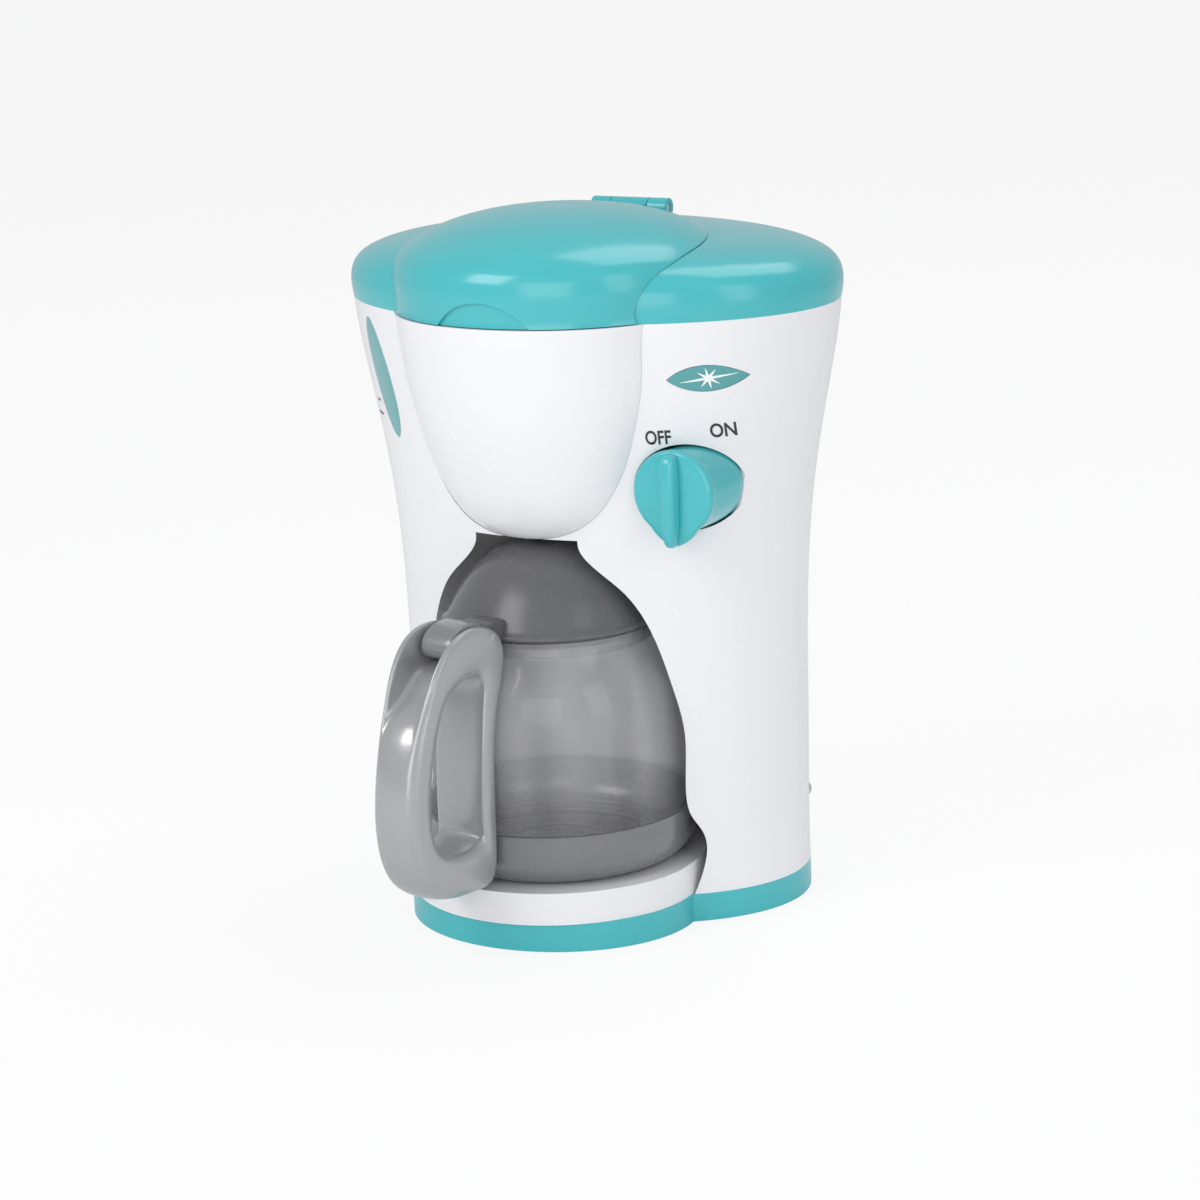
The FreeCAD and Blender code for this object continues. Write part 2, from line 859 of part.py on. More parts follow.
# Control knob on its shaft, and the switch behind it
knob_drum = cylinder(
    "knob_drum", ("knob_x", "-knob_face_y", "knob_z"), "knob_radius", "knob_face_y - knob_back_y", "Y"
)
knob_blade = box(
    "knob_blade",
    ("knob_x - grip_blade / 2", "-knob_face_y - grip_rise", "knob_z - knob_radius - pointer_out"),
    ("grip_blade", "grip_rise + 3", "2 * knob_radius + pointer_out - 0.5"),
)
knob_socket = cylinder(
    "knob_socket", ("knob_x", "-knob_back_y - 8", "knob_z"), "shaft_radius", "20", "Y"
)
knob_hollow = cylinder(
    "knob_hollow", ("knob_x", "-knob_face_y + wall", "knob_z"), "knob_radius - wall", "60", "Y"
)
knob_hub = cylinder(
    "knob_hub",
    ("knob_x", "-knob_face_y + 1", "knob_z"),
    "shaft_radius + wall",
    "knob_face_y - knob_back_y - 1",
    "Y",
)
knob_skin = cut("knob_skin", fuse("knob_solid", knob_drum, knob_blade), knob_hollow)
control_knob = node(
    cut("control_knob", fuse("knob_body", knob_skin, knob_hub), knob_socket), "control_knob"
)
knob_shaft = node(
    cylinder(
        "knob_shaft",
        ("knob_x", "-knob_back_y - 8", "knob_z"),
        "shaft_radius",
        "knob_back_y + 8 - switch_y + switch_depth",
        "Y",
    ),
    "knob_shaft",
)
switch_box = box(
    "switch_box",
    ("knob_x - switch_side / 2", "-switch_y", "knob_z - switch_side / 2"),
    ("switch_side", "switch_depth", "switch_side"),
)
switch_plate = box(
    "switch_plate",
    ("knob_x - post_radius", "-switch_y", "knob_z - post_offset - post_radius"),
    ("2 * post_radius", "1.6", "2 * (post_offset + post_radius)"),
)
switch_bore = cylinder(
    "switch_bore",
    ("knob_x", "-switch_y - 5", "knob_z"),
    "shaft_radius + 0.05",
    "switch_depth + 10",
    "Y",
)
switch_plate_holes = [
    cylinder(
        f"switch_plate_hole_{n}",
        ("knob_x", "-switch_y - 1", at_post(sign)),
        "screw_radius + fit_gap",
        "5",
        "Y",
    )
    for n, sign in enumerate("+-")
]
rotary_switch = node(
    cut("rotary_switch", fuse("switch_body", switch_box, switch_plate), switch_bore, *switch_plate_holes),
    "rotary_switch",
)
switch_screws = node(
    group(
        "switch_screws",
        *[
            screw(f"switch_screw_{n}", ("knob_x", "1.6 - switch_y", at_post(sign)), "8")
            for n, sign in enumerate("+-")
        ],
    ),
    "switch_screws",
)

# Indicator lens, its lamp and the level gauge, cut from the tower's own wall
light_lens = node(common("light_lens", lens_shape("lens_prism", "0"), tower_shell), "light_lens")
light_led = node(
    cylinder("light_led", ("lens_x", "-34.5", "lens_z"), "led_radius", "7", "Y"), "light_led"
)
level_gauge = node(
    common("level_gauge", gauge_shape("gauge_prism", "0"), tower_shell), "level_gauge"
)

# Battery bay, cells, contacts and the door in the rear wall
bay_outer = box(
    "bay_outer",
    ("-1.5 * cell_pitch - bay_wall", "cell_y - cell_radius - bay_wall - 0.5", "bay_bottom"),
    ("3 * cell_pitch + 2 * bay_wall", "2 * cell_radius + bay_wall + 1", f"{bay_top} - bay_bottom"),
)
bay_inner = box(
    "bay_inner",
    ("-1.5 * cell_pitch", "cell_y - cell_radius - 0.5", "bay_bottom + bay_wall"),
    ("3 * cell_pitch", "60", f"{bay_top} - bay_bottom - 2 * bay_wall"),
)
bay_boss = box("bay_boss", ("-4", "cell_y", bay_top), ("8", "8.5", "2 * door_screw_rise - 0.5"))
bay_boss_hole = cylinder("bay_boss_hole", ("0", "cell_y - 5", screw_z), "screw_radius + fit_gap", "30", "Y")
bay_feet = [
    box(f"bay_foot_{n}", (x, "cell_y - 4", "floor_thickness"), ("4", "8", "bay_bottom - floor_thickness"))
    for n, x in enumerate(("-1.5 * cell_pitch", "1.5 * cell_pitch - 4"))
]
battery_box = node(
    cut("battery_box", fuse("bay_body", bay_outer, bay_boss, *bay_feet), bay_inner, bay_boss_hole),
    "battery_box",
)
cells = []
contacts = []
for number, step in enumerate((-1, 0, 1)):
    x = f"{step} * cell_pitch"
    can = cylinder(
        f"cell_can_{number}",
        (x, "cell_y", "bay_bottom + bay_wall + contact_space"),
        "cell_radius",
        "cell_length - 1.5",
    )
    tip = cylinder(
        f"cell_tip_{number}",
        (x, "cell_y", "bay_bottom + bay_wall + contact_space + cell_length - 1.6"),
        "cell_radius / 2.6",
        "1.6",
    )
    cells.append(fuse(f"cell_{number}", can, tip))
    spring = doc.addObject("Part::Cone", f"contact_spring_{number}")
    spring.setExpression("Radius1", bound("cell_radius * 0.6"))
    spring.setExpression("Radius2", bound("cell_radius * 0.4"))
    spring.setExpression("Height", bound("contact_space - 0.4"))
    place(spring, (x, "cell_y", "bay_bottom + bay_wall + 0.4"))
    plate = box(
        f"contact_low_{number}",
        (f"{x} - 5", "cell_y - 5", "bay_bottom + bay_wall"),
        ("10", "10", "0.4"),
    )
    contacts.append(fuse(f"contact_spring_plate_{number}", plate, spring))
    contacts.append(
        box(
            f"contact_high_{number}",
            (f"{x} - 5", "cell_y - 5", "bay_bottom + bay_wall + contact_space + cell_length"),
            ("10", "10", "contact_space"),
        )
    )
batteries = node(group("batteries", *cells), "batteries")
battery_contacts = node(group("battery_contacts", *contacts), "battery_contacts")
door_blank = box(
    "door_blank",
    ("-door_half_width", "20", "bay_bottom"),
    ("2 * door_half_width", "60", f"{door_top} - bay_bottom"),
)
door_y = "(waist_half_width * plan_ratio)"
door_sink = cylinder("door_sink", ("0", f"{door_y} - 1.2", screw_z), "head_radius + fit_gap", "20", "Y")
door_hole = cylinder("door_hole", ("0", "cell_y", screw_z), "screw_radius + fit_gap", "40", "Y")
battery_door = node(
    cut("battery_door", common("door_panel", door_blank, tower_shell), door_sink, door_hole),
    "battery_door",
)
door_screw = node(
    fuse(
        "door_screw",
        cylinder("door_screw_head", ("0", f"{door_y} - 1.2", screw_z), "head_radius", "1", "Y"),
        cylinder(
            "door_screw_shank",
            ("0", "cell_y + 1", screw_z),
            "screw_radius",
            f"{door_y} - 2.2 - cell_y",
            "Y",
        ),
    ),
    "door_screw",
)

# Circuit board, its parts and the speaker on the rear wall
board_blank = box(
    "board_blank",
    ("-board_half_width", "board_y", "board_bottom"),
    ("2 * board_half_width", "board_thickness", "board_top - board_bottom"),
)
board_holes = [
    cylinder(f"board_hole_{n}", (x, "board_y - 5", z), "screw_radius + fit_gap", "10", "Y")
    for n, (x, z) in enumerate(BOARD_CORNERS)
]
circuit_board = node(cut("circuit_board", board_blank, *board_holes), "circuit_board")
board_middle = "(board_bottom + board_top) / 2"
board_components = node(
    group(
        "board_components",
        box("chip", ("-8", "board_y - 2", f"{board_middle} - 6"), ("14", "2", "12")),
        cylinder("capacitor", ("14", "board_y - 9", board_middle), "4", "9", "Y"),
        box("wire_socket", ("-20", "board_y - 6", f"{board_middle} - 5"), ("6", "6", "10")),
    ),
    "board_components",
)
board_screws = node(
    group(
        "board_screws",
        *[
            fuse(
                f"board_screw_{n}",
                cylinder(f"board_screw_{n}_head", (x, "board_y - 1.6", z), "head_radius - 0.4", "1.6", "Y"),
                cylinder(f"board_screw_{n}_shank", (x, "board_y - 0.5", z), "screw_radius", "8", "Y"),
            )
            for n, (x, z) in enumerate(BOARD_CORNERS)
        ],
    ),
    "board_screws",
)
speaker = node(
    fuse(
        "speaker",
        cylinder("speaker_frame", ("0", "speaker_y - 0.5", "speaker_z"), "speaker_radius", "3", "Y"),
        cylinder("speaker_magnet", ("0", "speaker_y - 8", "speaker_z"), "speaker_radius * 0.6", "8", "Y"),
    ),
    "speaker",
)

# Carafe: grey cup, clear jug, domed lid and the handle with its hinge
cup_low = "(deck_height + stand_gap)"


def cup_rows(inset, lift):
    """The cup's rounded foot and upright side."""
    stations = ((0, 8.2), (1.5, 4.4), (5, 1.2), (9, 0))
    rows = [
        (f"{cup_low} + {rise} + ({lift})", f"cup_radius - {draw} - ({inset})")
        for rise, draw in stations
    ]
    return rows


cup_outer = loft("cup_outer", round_rows(cup_rows("0", "0") + [("cup_rim", "cup_radius")]))
cup_inner = loft(
    "cup_inner",
    round_rows(cup_rows("cup_wall", "cup_wall") + [("cup_rim + 1", "cup_radius - cup_wall")]),
)
carafe_cup = node(cut("carafe_cup", cup_outer, cup_inner), "carafe_cup")
jug_wall_outer = loft("jug_wall_outer", round_rows(JUG))
jug_base_outer = loft(
    "jug_base_outer",
    round_rows(
        cup_rows("cup_wall + fit_gap", "cup_wall + fit_gap")
        + [("cup_rim + part_gap + 0.5", "cup_radius - cup_wall - fit_gap")]
    ),
)
jug_wall_inner = loft(
    "jug_wall_inner", round_rows(JUG[:-1] + (("neck_height + 1", "neck_radius"),), "-jug_wall")
)
jug_base_inner = loft(
    "jug_base_inner",
    round_rows(
        cup_rows("cup_wall + fit_gap + jug_wall", "cup_wall + fit_gap + jug_wall")
        + [("cup_rim + part_gap + 1", "cup_radius - cup_wall - fit_gap - jug_wall")]
    ),
)
jug_solid = fuse("jug_solid", jug_wall_outer, jug_base_outer)
jug_hollow = fuse("jug_hollow", jug_wall_inner, jug_base_inner)
carafe_jug = node(cut("carafe_jug", jug_solid, jug_hollow), "carafe_jug")

HANDLE_AXIS = FreeCAD.Vector(0, -SIZES["carafe_y"], 0)


def turned(piece):
    """Swings a piece of the handle about the carafe's axis to where the handle points."""
    spin = FreeCAD.Rotation(FreeCAD.Vector(0, 0, 1), -SIZES["handle_turn"])
    piece.Placement = FreeCAD.Placement(HANDLE_AXIS - spin.multVec(HANDLE_AXIS), spin)
    return piece


def profile(body, name, corners):
    """A closed outline in the body's upright plane: radius from the axis and height."""
    sketch = body.newObject("Sketcher::SketchObject", name)
    planes = {item.Role: item for item in body.Origin.OriginFeatures}
    sketch.AttachmentSupport = [(planes["YZ_Plane"], "")]
    sketch.MapMode = "FlatFace"
    points = [
        FreeCAD.Vector(-10 - 3 * number, 5 * (number % 2), 0) for number in range(len(corners))
    ]
    for start, end in zip(points, points[1:] + points[:1]):
        sketch.addGeometry(Part.LineSegment(start, end))
    for number in range(len(corners)):
        after = (number + 1) % len(corners)
        sketch.addConstraint(Sketcher.Constraint("Coincident", number, 2, after, 1))
    for number, (radius, height) in enumerate(corners):
        across = sketch.addConstraint(Sketcher.Constraint("DistanceX", number, 1, -1, 1, 10.0))
        sketch.setExpression(f"Constraints[{across}]", bound(f"carafe_y + ({radius})"))
        up = sketch.addConstraint(Sketcher.Constraint("DistanceY", -1, 1, number, 1, 10.0))
        sketch.setExpression(f"Constraints[{up}]", bound(height))
    return sketch


def rounded(name, base, corners):
    """Rounds the cross edges that lie at the given corners of the outline."""
    doc.recompute()
    edges = []
    for radius, height, size in corners:
        spot = FreeCAD.Vector(0, -value("carafe_y") - value(radius), value(height))
        best = min(
            range(len(base.Shape.Edges)),
            key=lambda n: (base.Shape.Edges[n].CenterOfMass - spot).Length,
        )
        edges.append((best + 1, size, size))
    smooth = doc.addObject("Part::Fillet", name)
    smooth.Base = base
    smooth.Edges = edges
    return smooth


def value(text):
    """A size, or a sum of sizes, read back from the sheet."""
    words = re.findall(r"[-+]?\s*[a-z_0-9.]+", text)
    total = 0.0
    for word in words:
        sign = -1 if word.strip().startswith("-") else 1
        word = word.strip(" +-")
        total += sign * float(sheet.get(word) if word in SIZES else word)
    return total


OUTLINE = (
    ("strap_outer - 12", "handle_foot"),
    ("grip_reach", "handle_foot"),
    ("grip_mid_reach", "grip_mid_height"),
    ("grip_top_reach", "handle_top"),
    ("neck_radius + 3", "handle_top - 3"),
    ("neck_radius - 2", "neck_height"),
    ("neck_radius - 2", "neck_height - 3"),
)
GAP = (
    ("strap_outer", "gap_bottom"),
    ("grip_reach - grip_thickness - 2", "gap_bottom - 2"),
    ("grip_mid_reach - grip_thickness + 2", "grip_mid_height - 6"),
    ("grip_top_reach + 1", "gap_top - 1"),
    ("strap_outer - 2", "gap_top"),
)
handle_body = doc.addObject("PartDesign::Body", "handle_body")
handle_pad = handle_body.newObject("PartDesign::Pad", "handle_pad")
handle_pad.Profile = profile(handle_body, "handle_outline", OUTLINE)
handle_pad.setExpression("Length", bound("handle_width"))
handle_pad.Midplane = True
handle_gap = handle_body.newObject("PartDesign::Pocket", "handle_gap")
handle_gap.Profile = profile(handle_body, "gap_outline", GAP)
handle_gap.Type = "ThroughAll"
handle_gap.Midplane = True
handle_round = rounded(
    "handle_round",
    handle_body,
    (
        ("grip_reach", "handle_foot", 18),
        ("grip_mid_reach", "grip_mid_height", 60),
        ("grip_top_reach", "handle_top", 9),
        ("neck_radius + 3", "handle_top - 3", 5),
        ("strap_outer", "gap_bottom", 6),
        ("grip_reach - grip_thickness - 2", "gap_bottom - 2", 9),
        ("grip_top_reach + 1", "gap_top - 1", 6),
        ("strap_outer - 2", "gap_top", 6),
    ),
)
jug_room = fuse(
    "jug_room",
    loft("jug_room_wall", round_rows(JUG, "part_gap")),
    cylinder("cup_room", ("0", "-carafe_y", "0"), "cup_radius + fit_gap", "cup_rim + part_gap"),
    cylinder("lid_room", ("0", "-carafe_y", "neck_height - 2"), "neck_radius + 1", "40"),
)
lever_room = box(
    "lever_room",
    ("-lever_width / 2 - part_gap", "-carafe_y - lever_reach - 3", "lever_floor - part_gap - 1"),
    ("lever_width + 2 * part_gap", "lever_reach - neck_radius + 5", "30"),
)
carafe_pin_hole = cylinder(
    "carafe_pin_hole",
    ("-30", "-carafe_y - carafe_pin_reach", "carafe_pin_height"),
    "carafe_pin_radius + 0.05",
    "60",
    "X",
)
carafe_handle = node(
    turned(cut("carafe_handle", handle_round, jug_room, lever_room, carafe_pin_hole)),
    "carafe_handle",
)
carafe_lid_pin = node(
    turned(
        group(
            "carafe_lid_pin",
            cylinder(
                "carafe_pin_rod",
                ("-handle_width / 2", "-carafe_y - carafe_pin_reach", "carafe_pin_height"),
                "carafe_pin_radius",
                "handle_width",
                "X",
            ),
        )
    ),
    "carafe_lid_pin",
)

# Carafe lid: a dome with a plug in the neck and a lever between the handle's horns
dome_low = "(neck_height + part_gap)"
dome_outer = loft(
    "dome_outer", round_rows(lid_dome(dome_low, "carafe_lid_top - neck_height - part_gap", "neck_radius"))
)
dome_inner = loft(
    "dome_inner",
    round_rows(
        lid_dome(
            f"{dome_low} + lid_flange",
            "carafe_lid_top - neck_height - part_gap - carafe_lid_wall - lid_flange",
            "neck_radius - carafe_lid_wall",
        )
    ),
)
plug_outer = cylinder(
    "plug_outer",
    ("0", "-carafe_y", f"{dome_low} - plug_depth"),
    "neck_radius - jug_wall - plug_gap",
    "plug_depth + 1",
)
plug_inner = cylinder(
    "plug_inner",
    ("0", "-carafe_y", f"{dome_low} - plug_depth - 1"),
    "neck_radius - jug_wall - plug_gap - carafe_lid_wall",
    "plug_depth + 3",
)
vent = cylinder("vent", ("0", "-carafe_y", "carafe_lid_top - 10"), "vent_radius", "20")
lever_block = box(
    "lever_block",
    ("-lever_width / 2", "-carafe_y - lever_reach", "lever_floor"),
    ("lever_width", "lever_reach - neck_radius + 4", "handle_top - lever_floor - 1"),
)
lever = turned(cut("lever", lever_block, carafe_pin_hole))
lid_body = fuse("lid_body", dome_outer, plug_outer, lever)
carafe_lid = node(cut("carafe_lid", lid_body, dome_inner, plug_inner, vent), "carafe_lid")

doc.recompute()
failed = [item.Name for item in doc.Objects if {"Invalid", "Error"} & set(item.State)]
if failed:
    raise RuntimeError("these failed: " + ", ".join(failed))
os.makedirs("parts", exist_ok=True)
for piece in nodes:
    shape = piece.Shape
    if shape.isNull() or not shape.isValid() or shape.Volume <= 0:
        raise RuntimeError(f"{piece.Label} has no sound shape")
    shape.exportStep(f"parts/{piece.Label}.step")
    bounds = shape.BoundBox
    print(
        f"{piece.Label}: {len(shape.Solids)} solids, {shape.Volume / 1000:.2f} cm3,"
        f" x {bounds.XMin:.1f}..{bounds.XMax:.1f}"
        f" y {bounds.YMin:.1f}..{bounds.YMax:.1f} z {bounds.ZMin:.1f}..{bounds.ZMax:.1f}"
    )
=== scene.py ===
"""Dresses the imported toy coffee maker: finishes, handle, lids, knob, marks, studio and camera."""

import math

import bmesh
import bpy
from bpy.props import FloatProperty, FloatVectorProperty, PointerProperty
from mathutils import Matrix, Vector
from mathutils.bvhtree import BVHTree


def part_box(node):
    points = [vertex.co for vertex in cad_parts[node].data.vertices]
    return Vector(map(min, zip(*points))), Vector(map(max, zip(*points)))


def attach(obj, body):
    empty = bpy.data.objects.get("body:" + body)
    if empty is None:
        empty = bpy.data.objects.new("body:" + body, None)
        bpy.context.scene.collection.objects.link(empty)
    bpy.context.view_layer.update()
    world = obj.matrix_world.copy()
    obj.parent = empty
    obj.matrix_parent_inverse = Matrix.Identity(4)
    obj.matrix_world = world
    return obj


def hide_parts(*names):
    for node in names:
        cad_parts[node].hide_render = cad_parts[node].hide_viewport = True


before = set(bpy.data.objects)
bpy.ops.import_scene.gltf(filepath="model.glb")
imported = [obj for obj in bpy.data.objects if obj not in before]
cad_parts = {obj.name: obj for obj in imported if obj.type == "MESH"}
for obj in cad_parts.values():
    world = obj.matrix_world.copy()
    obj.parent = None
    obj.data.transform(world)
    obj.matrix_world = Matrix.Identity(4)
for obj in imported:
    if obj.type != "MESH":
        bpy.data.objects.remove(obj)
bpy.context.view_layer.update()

bl_info = {
    "name": "Toy Coffee Maker Dresser",
    "version": (1, 0, 0),
    "blender": (4, 5, 0),
    "location": "3D View > Sidebar > Coffee Maker",
    "description": "Finishes and detailed pieces for the packed toy coffee maker",
    "category": "Object",
}

MM = 0.001
ROUND_STEPS = 72
CARAFE_Y = -38.3
HANDLE_TURN = math.radians(7)


class ToySizes(bpy.types.PropertyGroup):
    """Sizes of the pieces that are made here."""

    grip_half_width: FloatProperty(
        name="Grip half width",
        description="Half the width of the carafe's grip",
        default=0.0092,
        unit="LENGTH",
    )
    horn_half_width: FloatProperty(
        name="Horn half width",
        description="Half the width over the handle's two horns",
        default=0.0105,
        unit="LENGTH",
    )
    letter_height: FloatProperty(
        name="Letter height",
        description="Height of the capitals over the knob",
        default=0.0045,
        unit="LENGTH",
    )
    knob_radius: FloatProperty(
        name="Knob radius",
        description="Radius of the turning knob",
        default=0.0145,
        unit="LENGTH",
    )


class ToyColours(bpy.types.PropertyGroup):
    """Colours of the moulded plastics."""

    teal: FloatVectorProperty(
        name="Teal",
        description="Covers, knob and base band",
        default=(0.065, 0.5, 0.54),
        subtype="COLOR",
        size=3,
    )
    white: FloatVectorProperty(
        name="White",
        description="Tower, funnel and deck",
        default=(0.88, 0.88, 0.9),
        subtype="COLOR",
        size=3,
    )
    silver: FloatVectorProperty(
        name="Silver grey",
        description="Handle of the carafe",
        default=(0.43, 0.43, 0.44),
        subtype="COLOR",
        size=3,
    )
    graphite: FloatVectorProperty(
        name="Graphite",
        description="Lid and foot of the carafe",
        default=(0.13, 0.13, 0.135),
        subtype="COLOR",
        size=3,
    )
    ink: FloatVectorProperty(
        name="Ink",
        description="Printed letters and marks",
        default=(0.04, 0.04, 0.045),
        subtype="COLOR",
        size=3,
    )


class Signal:
    """A socket's value; sums and products of it add their own Math nodes."""

    def __init__(self, sheet, socket):
        self.sheet = sheet
        self.socket = socket

    def _math(self, operation, first, second):
        return self.sheet.add("ShaderNodeMath", {"operation": operation}, {0: first, 1: second})

    def __add__(self, other):
        return self._math("ADD", self, other)

    def __mul__(self, other):
        return self._math("MULTIPLY", self, other)

    __radd__ = __add__
    __rmul__ = __mul__


class NodeSheet:
    """A node tree that is written one call per node."""

    def __init__(self, tree):
        self.tree = tree

    def add(self, kind, settings=None, values=None, out=0):
        node = self.tree.nodes.new(kind)
        for key, value in (settings or {}).items():
            if key == "stops":
                ramp = node.color_ramp.elements
                ramp[0].position, ramp[0].color = value[0]
                ramp[1].position, ramp[1].color = value[-1]
                for spot, colour in value[1:-1]:
                    ramp.new(spot).color = colour
            else:
                setattr(node, key, value)
        for key, value in (values or {}).items():
            if isinstance(value, Signal):
                self.tree.links.new(value.socket, node.inputs[key])
            else:
                node.inputs[key].default_value = value
        return Signal(self, node.outputs[out]) if node.outputs else node


def grey_stops(*pairs):
    """Stops of a ramp in greys, from pairs of place and level."""
    return [(spot, (level, level, level, 1)) for spot, level in pairs]


FINISHES = {}


def finish(
    name,
    colour,
    roughness=0.25,
    drift=0.04,
    peel=0.05,
    speckle=900,
    metallic=0.0,
    coat=0.0,
    clear=0.0,
    scuff=0.03,
):
    """A moulded plastic or metal: colour drift, scuffed gloss and a fine orange-peel skin."""
    if name in FINISHES:
        return FINISHES[name]
    material = bpy.data.materials.new(name)
    material.use_nodes = True
    material.node_tree.nodes.clear()
    sheet = NodeSheet(material.node_tree)
    place = sheet.add("ShaderNodeTexCoord", out="Object")
    cloud = sheet.add(
        "ShaderNodeTexNoise", None, {"Vector": place, "Scale": 22.0, "Detail": 3.0}, "Fac"
    )
    grain = sheet.add(
        "ShaderNodeTexNoise", None, {"Vector": place, "Scale": speckle, "Detail": 2.0}, "Fac"
    )
    marks = sheet.add(
        "ShaderNodeTexNoise", None, {"Vector": place, "Scale": 140.0, "Detail": 5.0}, "Fac"
    )
    scuffs = sheet.add(
        "ShaderNodeValToRGB", {"stops": grey_stops((0.5, 0), (0.8, 1))}, {"Fac": marks}
    )
    light = tuple(min(1.0, c * (1 + drift) + drift * 0.02) for c in colour)
    deep = tuple(c * (1 - drift) for c in colour)
    tint = sheet.add(
        "ShaderNodeMix",
        {"data_type": "RGBA"},
        {"Factor": cloud, "A": (*deep, 1), "B": (*light, 1)},
        2,
    )
    bump = sheet.add(
        "ShaderNodeBump",
        None,
        {"Strength": peel, "Distance": 0.0003, "Height": grain},
        "Normal",
    )
    shader = sheet.add(
        "ShaderNodeBsdfPrincipled",
        None,
        {
            "Base Color": tint,
            "Roughness": roughness + scuff * scuffs + 0.03 * grain,
            "Metallic": metallic,
            "IOR": 1.48,
            "Coat Weight": coat,
            "Coat Roughness": 0.08,
            "Transmission Weight": clear,
            "Normal": bump,
        },
        "BSDF",
    )
    sheet.add("ShaderNodeOutputMaterial", None, {"Surface": shader})
    FINISHES[name] = material
    return material


def clear_finish():
    """Clear moulded plastic, thin in the middle: painted shade makes it greyer where the wall is
    seen edge on, painted reflection lays dark upright streaks, and a painted pale reflection grows
    higher up.
    """
    material = bpy.data.materials.new("clear_plastic")
    material.use_nodes = True
    material.node_tree.nodes.clear()
    sheet = NodeSheet(material.node_tree)
    place = sheet.add("ShaderNodeTexCoord", out="Object")
    waves = sheet.add(
        "ShaderNodeTexNoise", None, {"Vector": place, "Scale": 60.0, "Detail": 1.0}, "Fac"
    )
    grain = sheet.add(
        "ShaderNodeTexNoise", None, {"Vector": place, "Scale": 500.0, "Detail": 2.0}, "Fac"
    )
    bump = sheet.add(
        "ShaderNodeBump", None, {"Strength": 0.06, "Distance": 0.0004, "Height": waves}, "Normal"
    )
    # Painted shade: where the wall is seen edge on, the tint turns grey and the wall grows less
    # see-through.
    edge = sheet.add("ShaderNodeLayerWeight", None, {"Blend": 0.5}, "Facing")
    veil = sheet.add(
        "ShaderNodeValToRGB",
        {"stops": grey_stops((0.15, 0.02), (0.6, 0.05), (0.85, 0.16), (1.0, 0.5))},
        {"Fac": edge},
    )
    # Painted pale reflection: the wall grows less see-through, and so paler, higher up the jug.
    height = sheet.add("ShaderNodeSeparateXYZ", None, {"Vector": place}, "Z")
    painted_upper_reflection = sheet.add(
        "ShaderNodeValToRGB",
        {"stops": grey_stops((0.42, 0.06), (0.6, 0.16))},
        {"Fac": height * 10.0},
    )
    # Painted reflection: dark upright streaks in the jug's tint.
    stretched = sheet.add("ShaderNodeMapping", None, {"Vector": place, "Scale": (60, 60, 2)})
    streaks = sheet.add(
        "ShaderNodeTexNoise", None, {"Vector": stretched, "Scale": 1.0, "Detail": 1.0}, "Fac"
    )
    shade = sheet.add(
        "ShaderNodeValToRGB", {"stops": grey_stops((0.4, 0.0), (0.62, 0.45))}, {"Fac": streaks}
    )
    tint = sheet.add(
        "ShaderNodeMix",
        {"data_type": "RGBA"},
        {"Factor": shade + edge * 0.6, "A": (0.95, 0.95, 0.97, 1), "B": (0.3, 0.3, 0.32, 1)},
        2,
    )
    shader = sheet.add(
        "ShaderNodeBsdfPrincipled",
        None,
        {
            "Base Color": tint,
            "Roughness": 0.05 + 0.04 * grain,
            "IOR": 1.5,
            "Coat Weight": 1.0,
            "Coat Roughness": 0.02,
            "Alpha": veil + painted_upper_reflection,
            "Normal": bump,
        },
        "BSDF",
    )
    sheet.add("ShaderNodeOutputMaterial", None, {"Surface": shader})
    return material


def toy(context):
    """The sizes and colours that the panel shows."""
    return context.scene.toy_sizes, context.scene.toy_colours


def dress(piece, material, slot_name, body, *nodes):
    """Gives a new piece its finish and body, and hides the nodes that it replaces; its slot name is
    not used.
    """
    if not piece.data.materials:
        piece.data.materials.append(material)
    else:
        piece.data.materials[0] = material
    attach(piece, body)
    if nodes:
        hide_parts(*nodes)


def from_rings(name, rings, closed=True, level=2):
    """A mesh through rings of points in millimetres, as a closed loop of rings or capped."""
    form = bmesh.new()
    rows = [[form.verts.new(Vector(p) * MM) for p in ring] for ring in rings]
    pairs = list(zip(rows, rows[1:]))
    if closed:
        pairs.append((rows[-1], rows[0]))
    for low, high in pairs:
        count = len(low)
        for n in range(count):
            after = (n + 1) % count
            form.faces.new((low[n], low[after], high[after], high[n]))
    if not closed:
        form.faces.new(list(reversed(rows[0])))
        form.faces.new(rows[-1])
    bmesh.ops.recalc_face_normals(form, faces=form.faces)
    mesh = bpy.data.meshes.new(name)
    form.to_mesh(mesh)
    form.free()
    mesh.shade_smooth()
    piece = bpy.data.objects.new(name, mesh)
    bpy.context.scene.collection.objects.link(piece)
    smooth = piece.modifiers.new("Smooth", "SUBSURF")
    smooth.levels = level
    smooth.render_levels = level
    return piece


def revolved(name, outline):
    """A shape turned about the carafe's upright axis, round a closed outline (radius, height)."""
    angles = [math.tau * n / ROUND_STEPS for n in range(ROUND_STEPS)]
    rings = []
    for radius, height in outline:
        rings.append(
            [(radius * math.cos(a), CARAFE_Y + radius * math.sin(a), height) for a in angles]
        )
    return from_rings(name, rings, level=1)


def by_handle(radius, height, across):
    """A point by the handle: distance from the carafe's axis, height, and side step."""
    outward = Vector((-math.sin(HANDLE_TURN), -math.cos(HANDLE_TURN), 0))
    side = Vector((math.cos(HANDLE_TURN), -math.sin(HANDLE_TURN), 0))
    return Vector((0, CARAFE_Y, 0)) + outward * radius + side * across + Vector((0, 0, height))


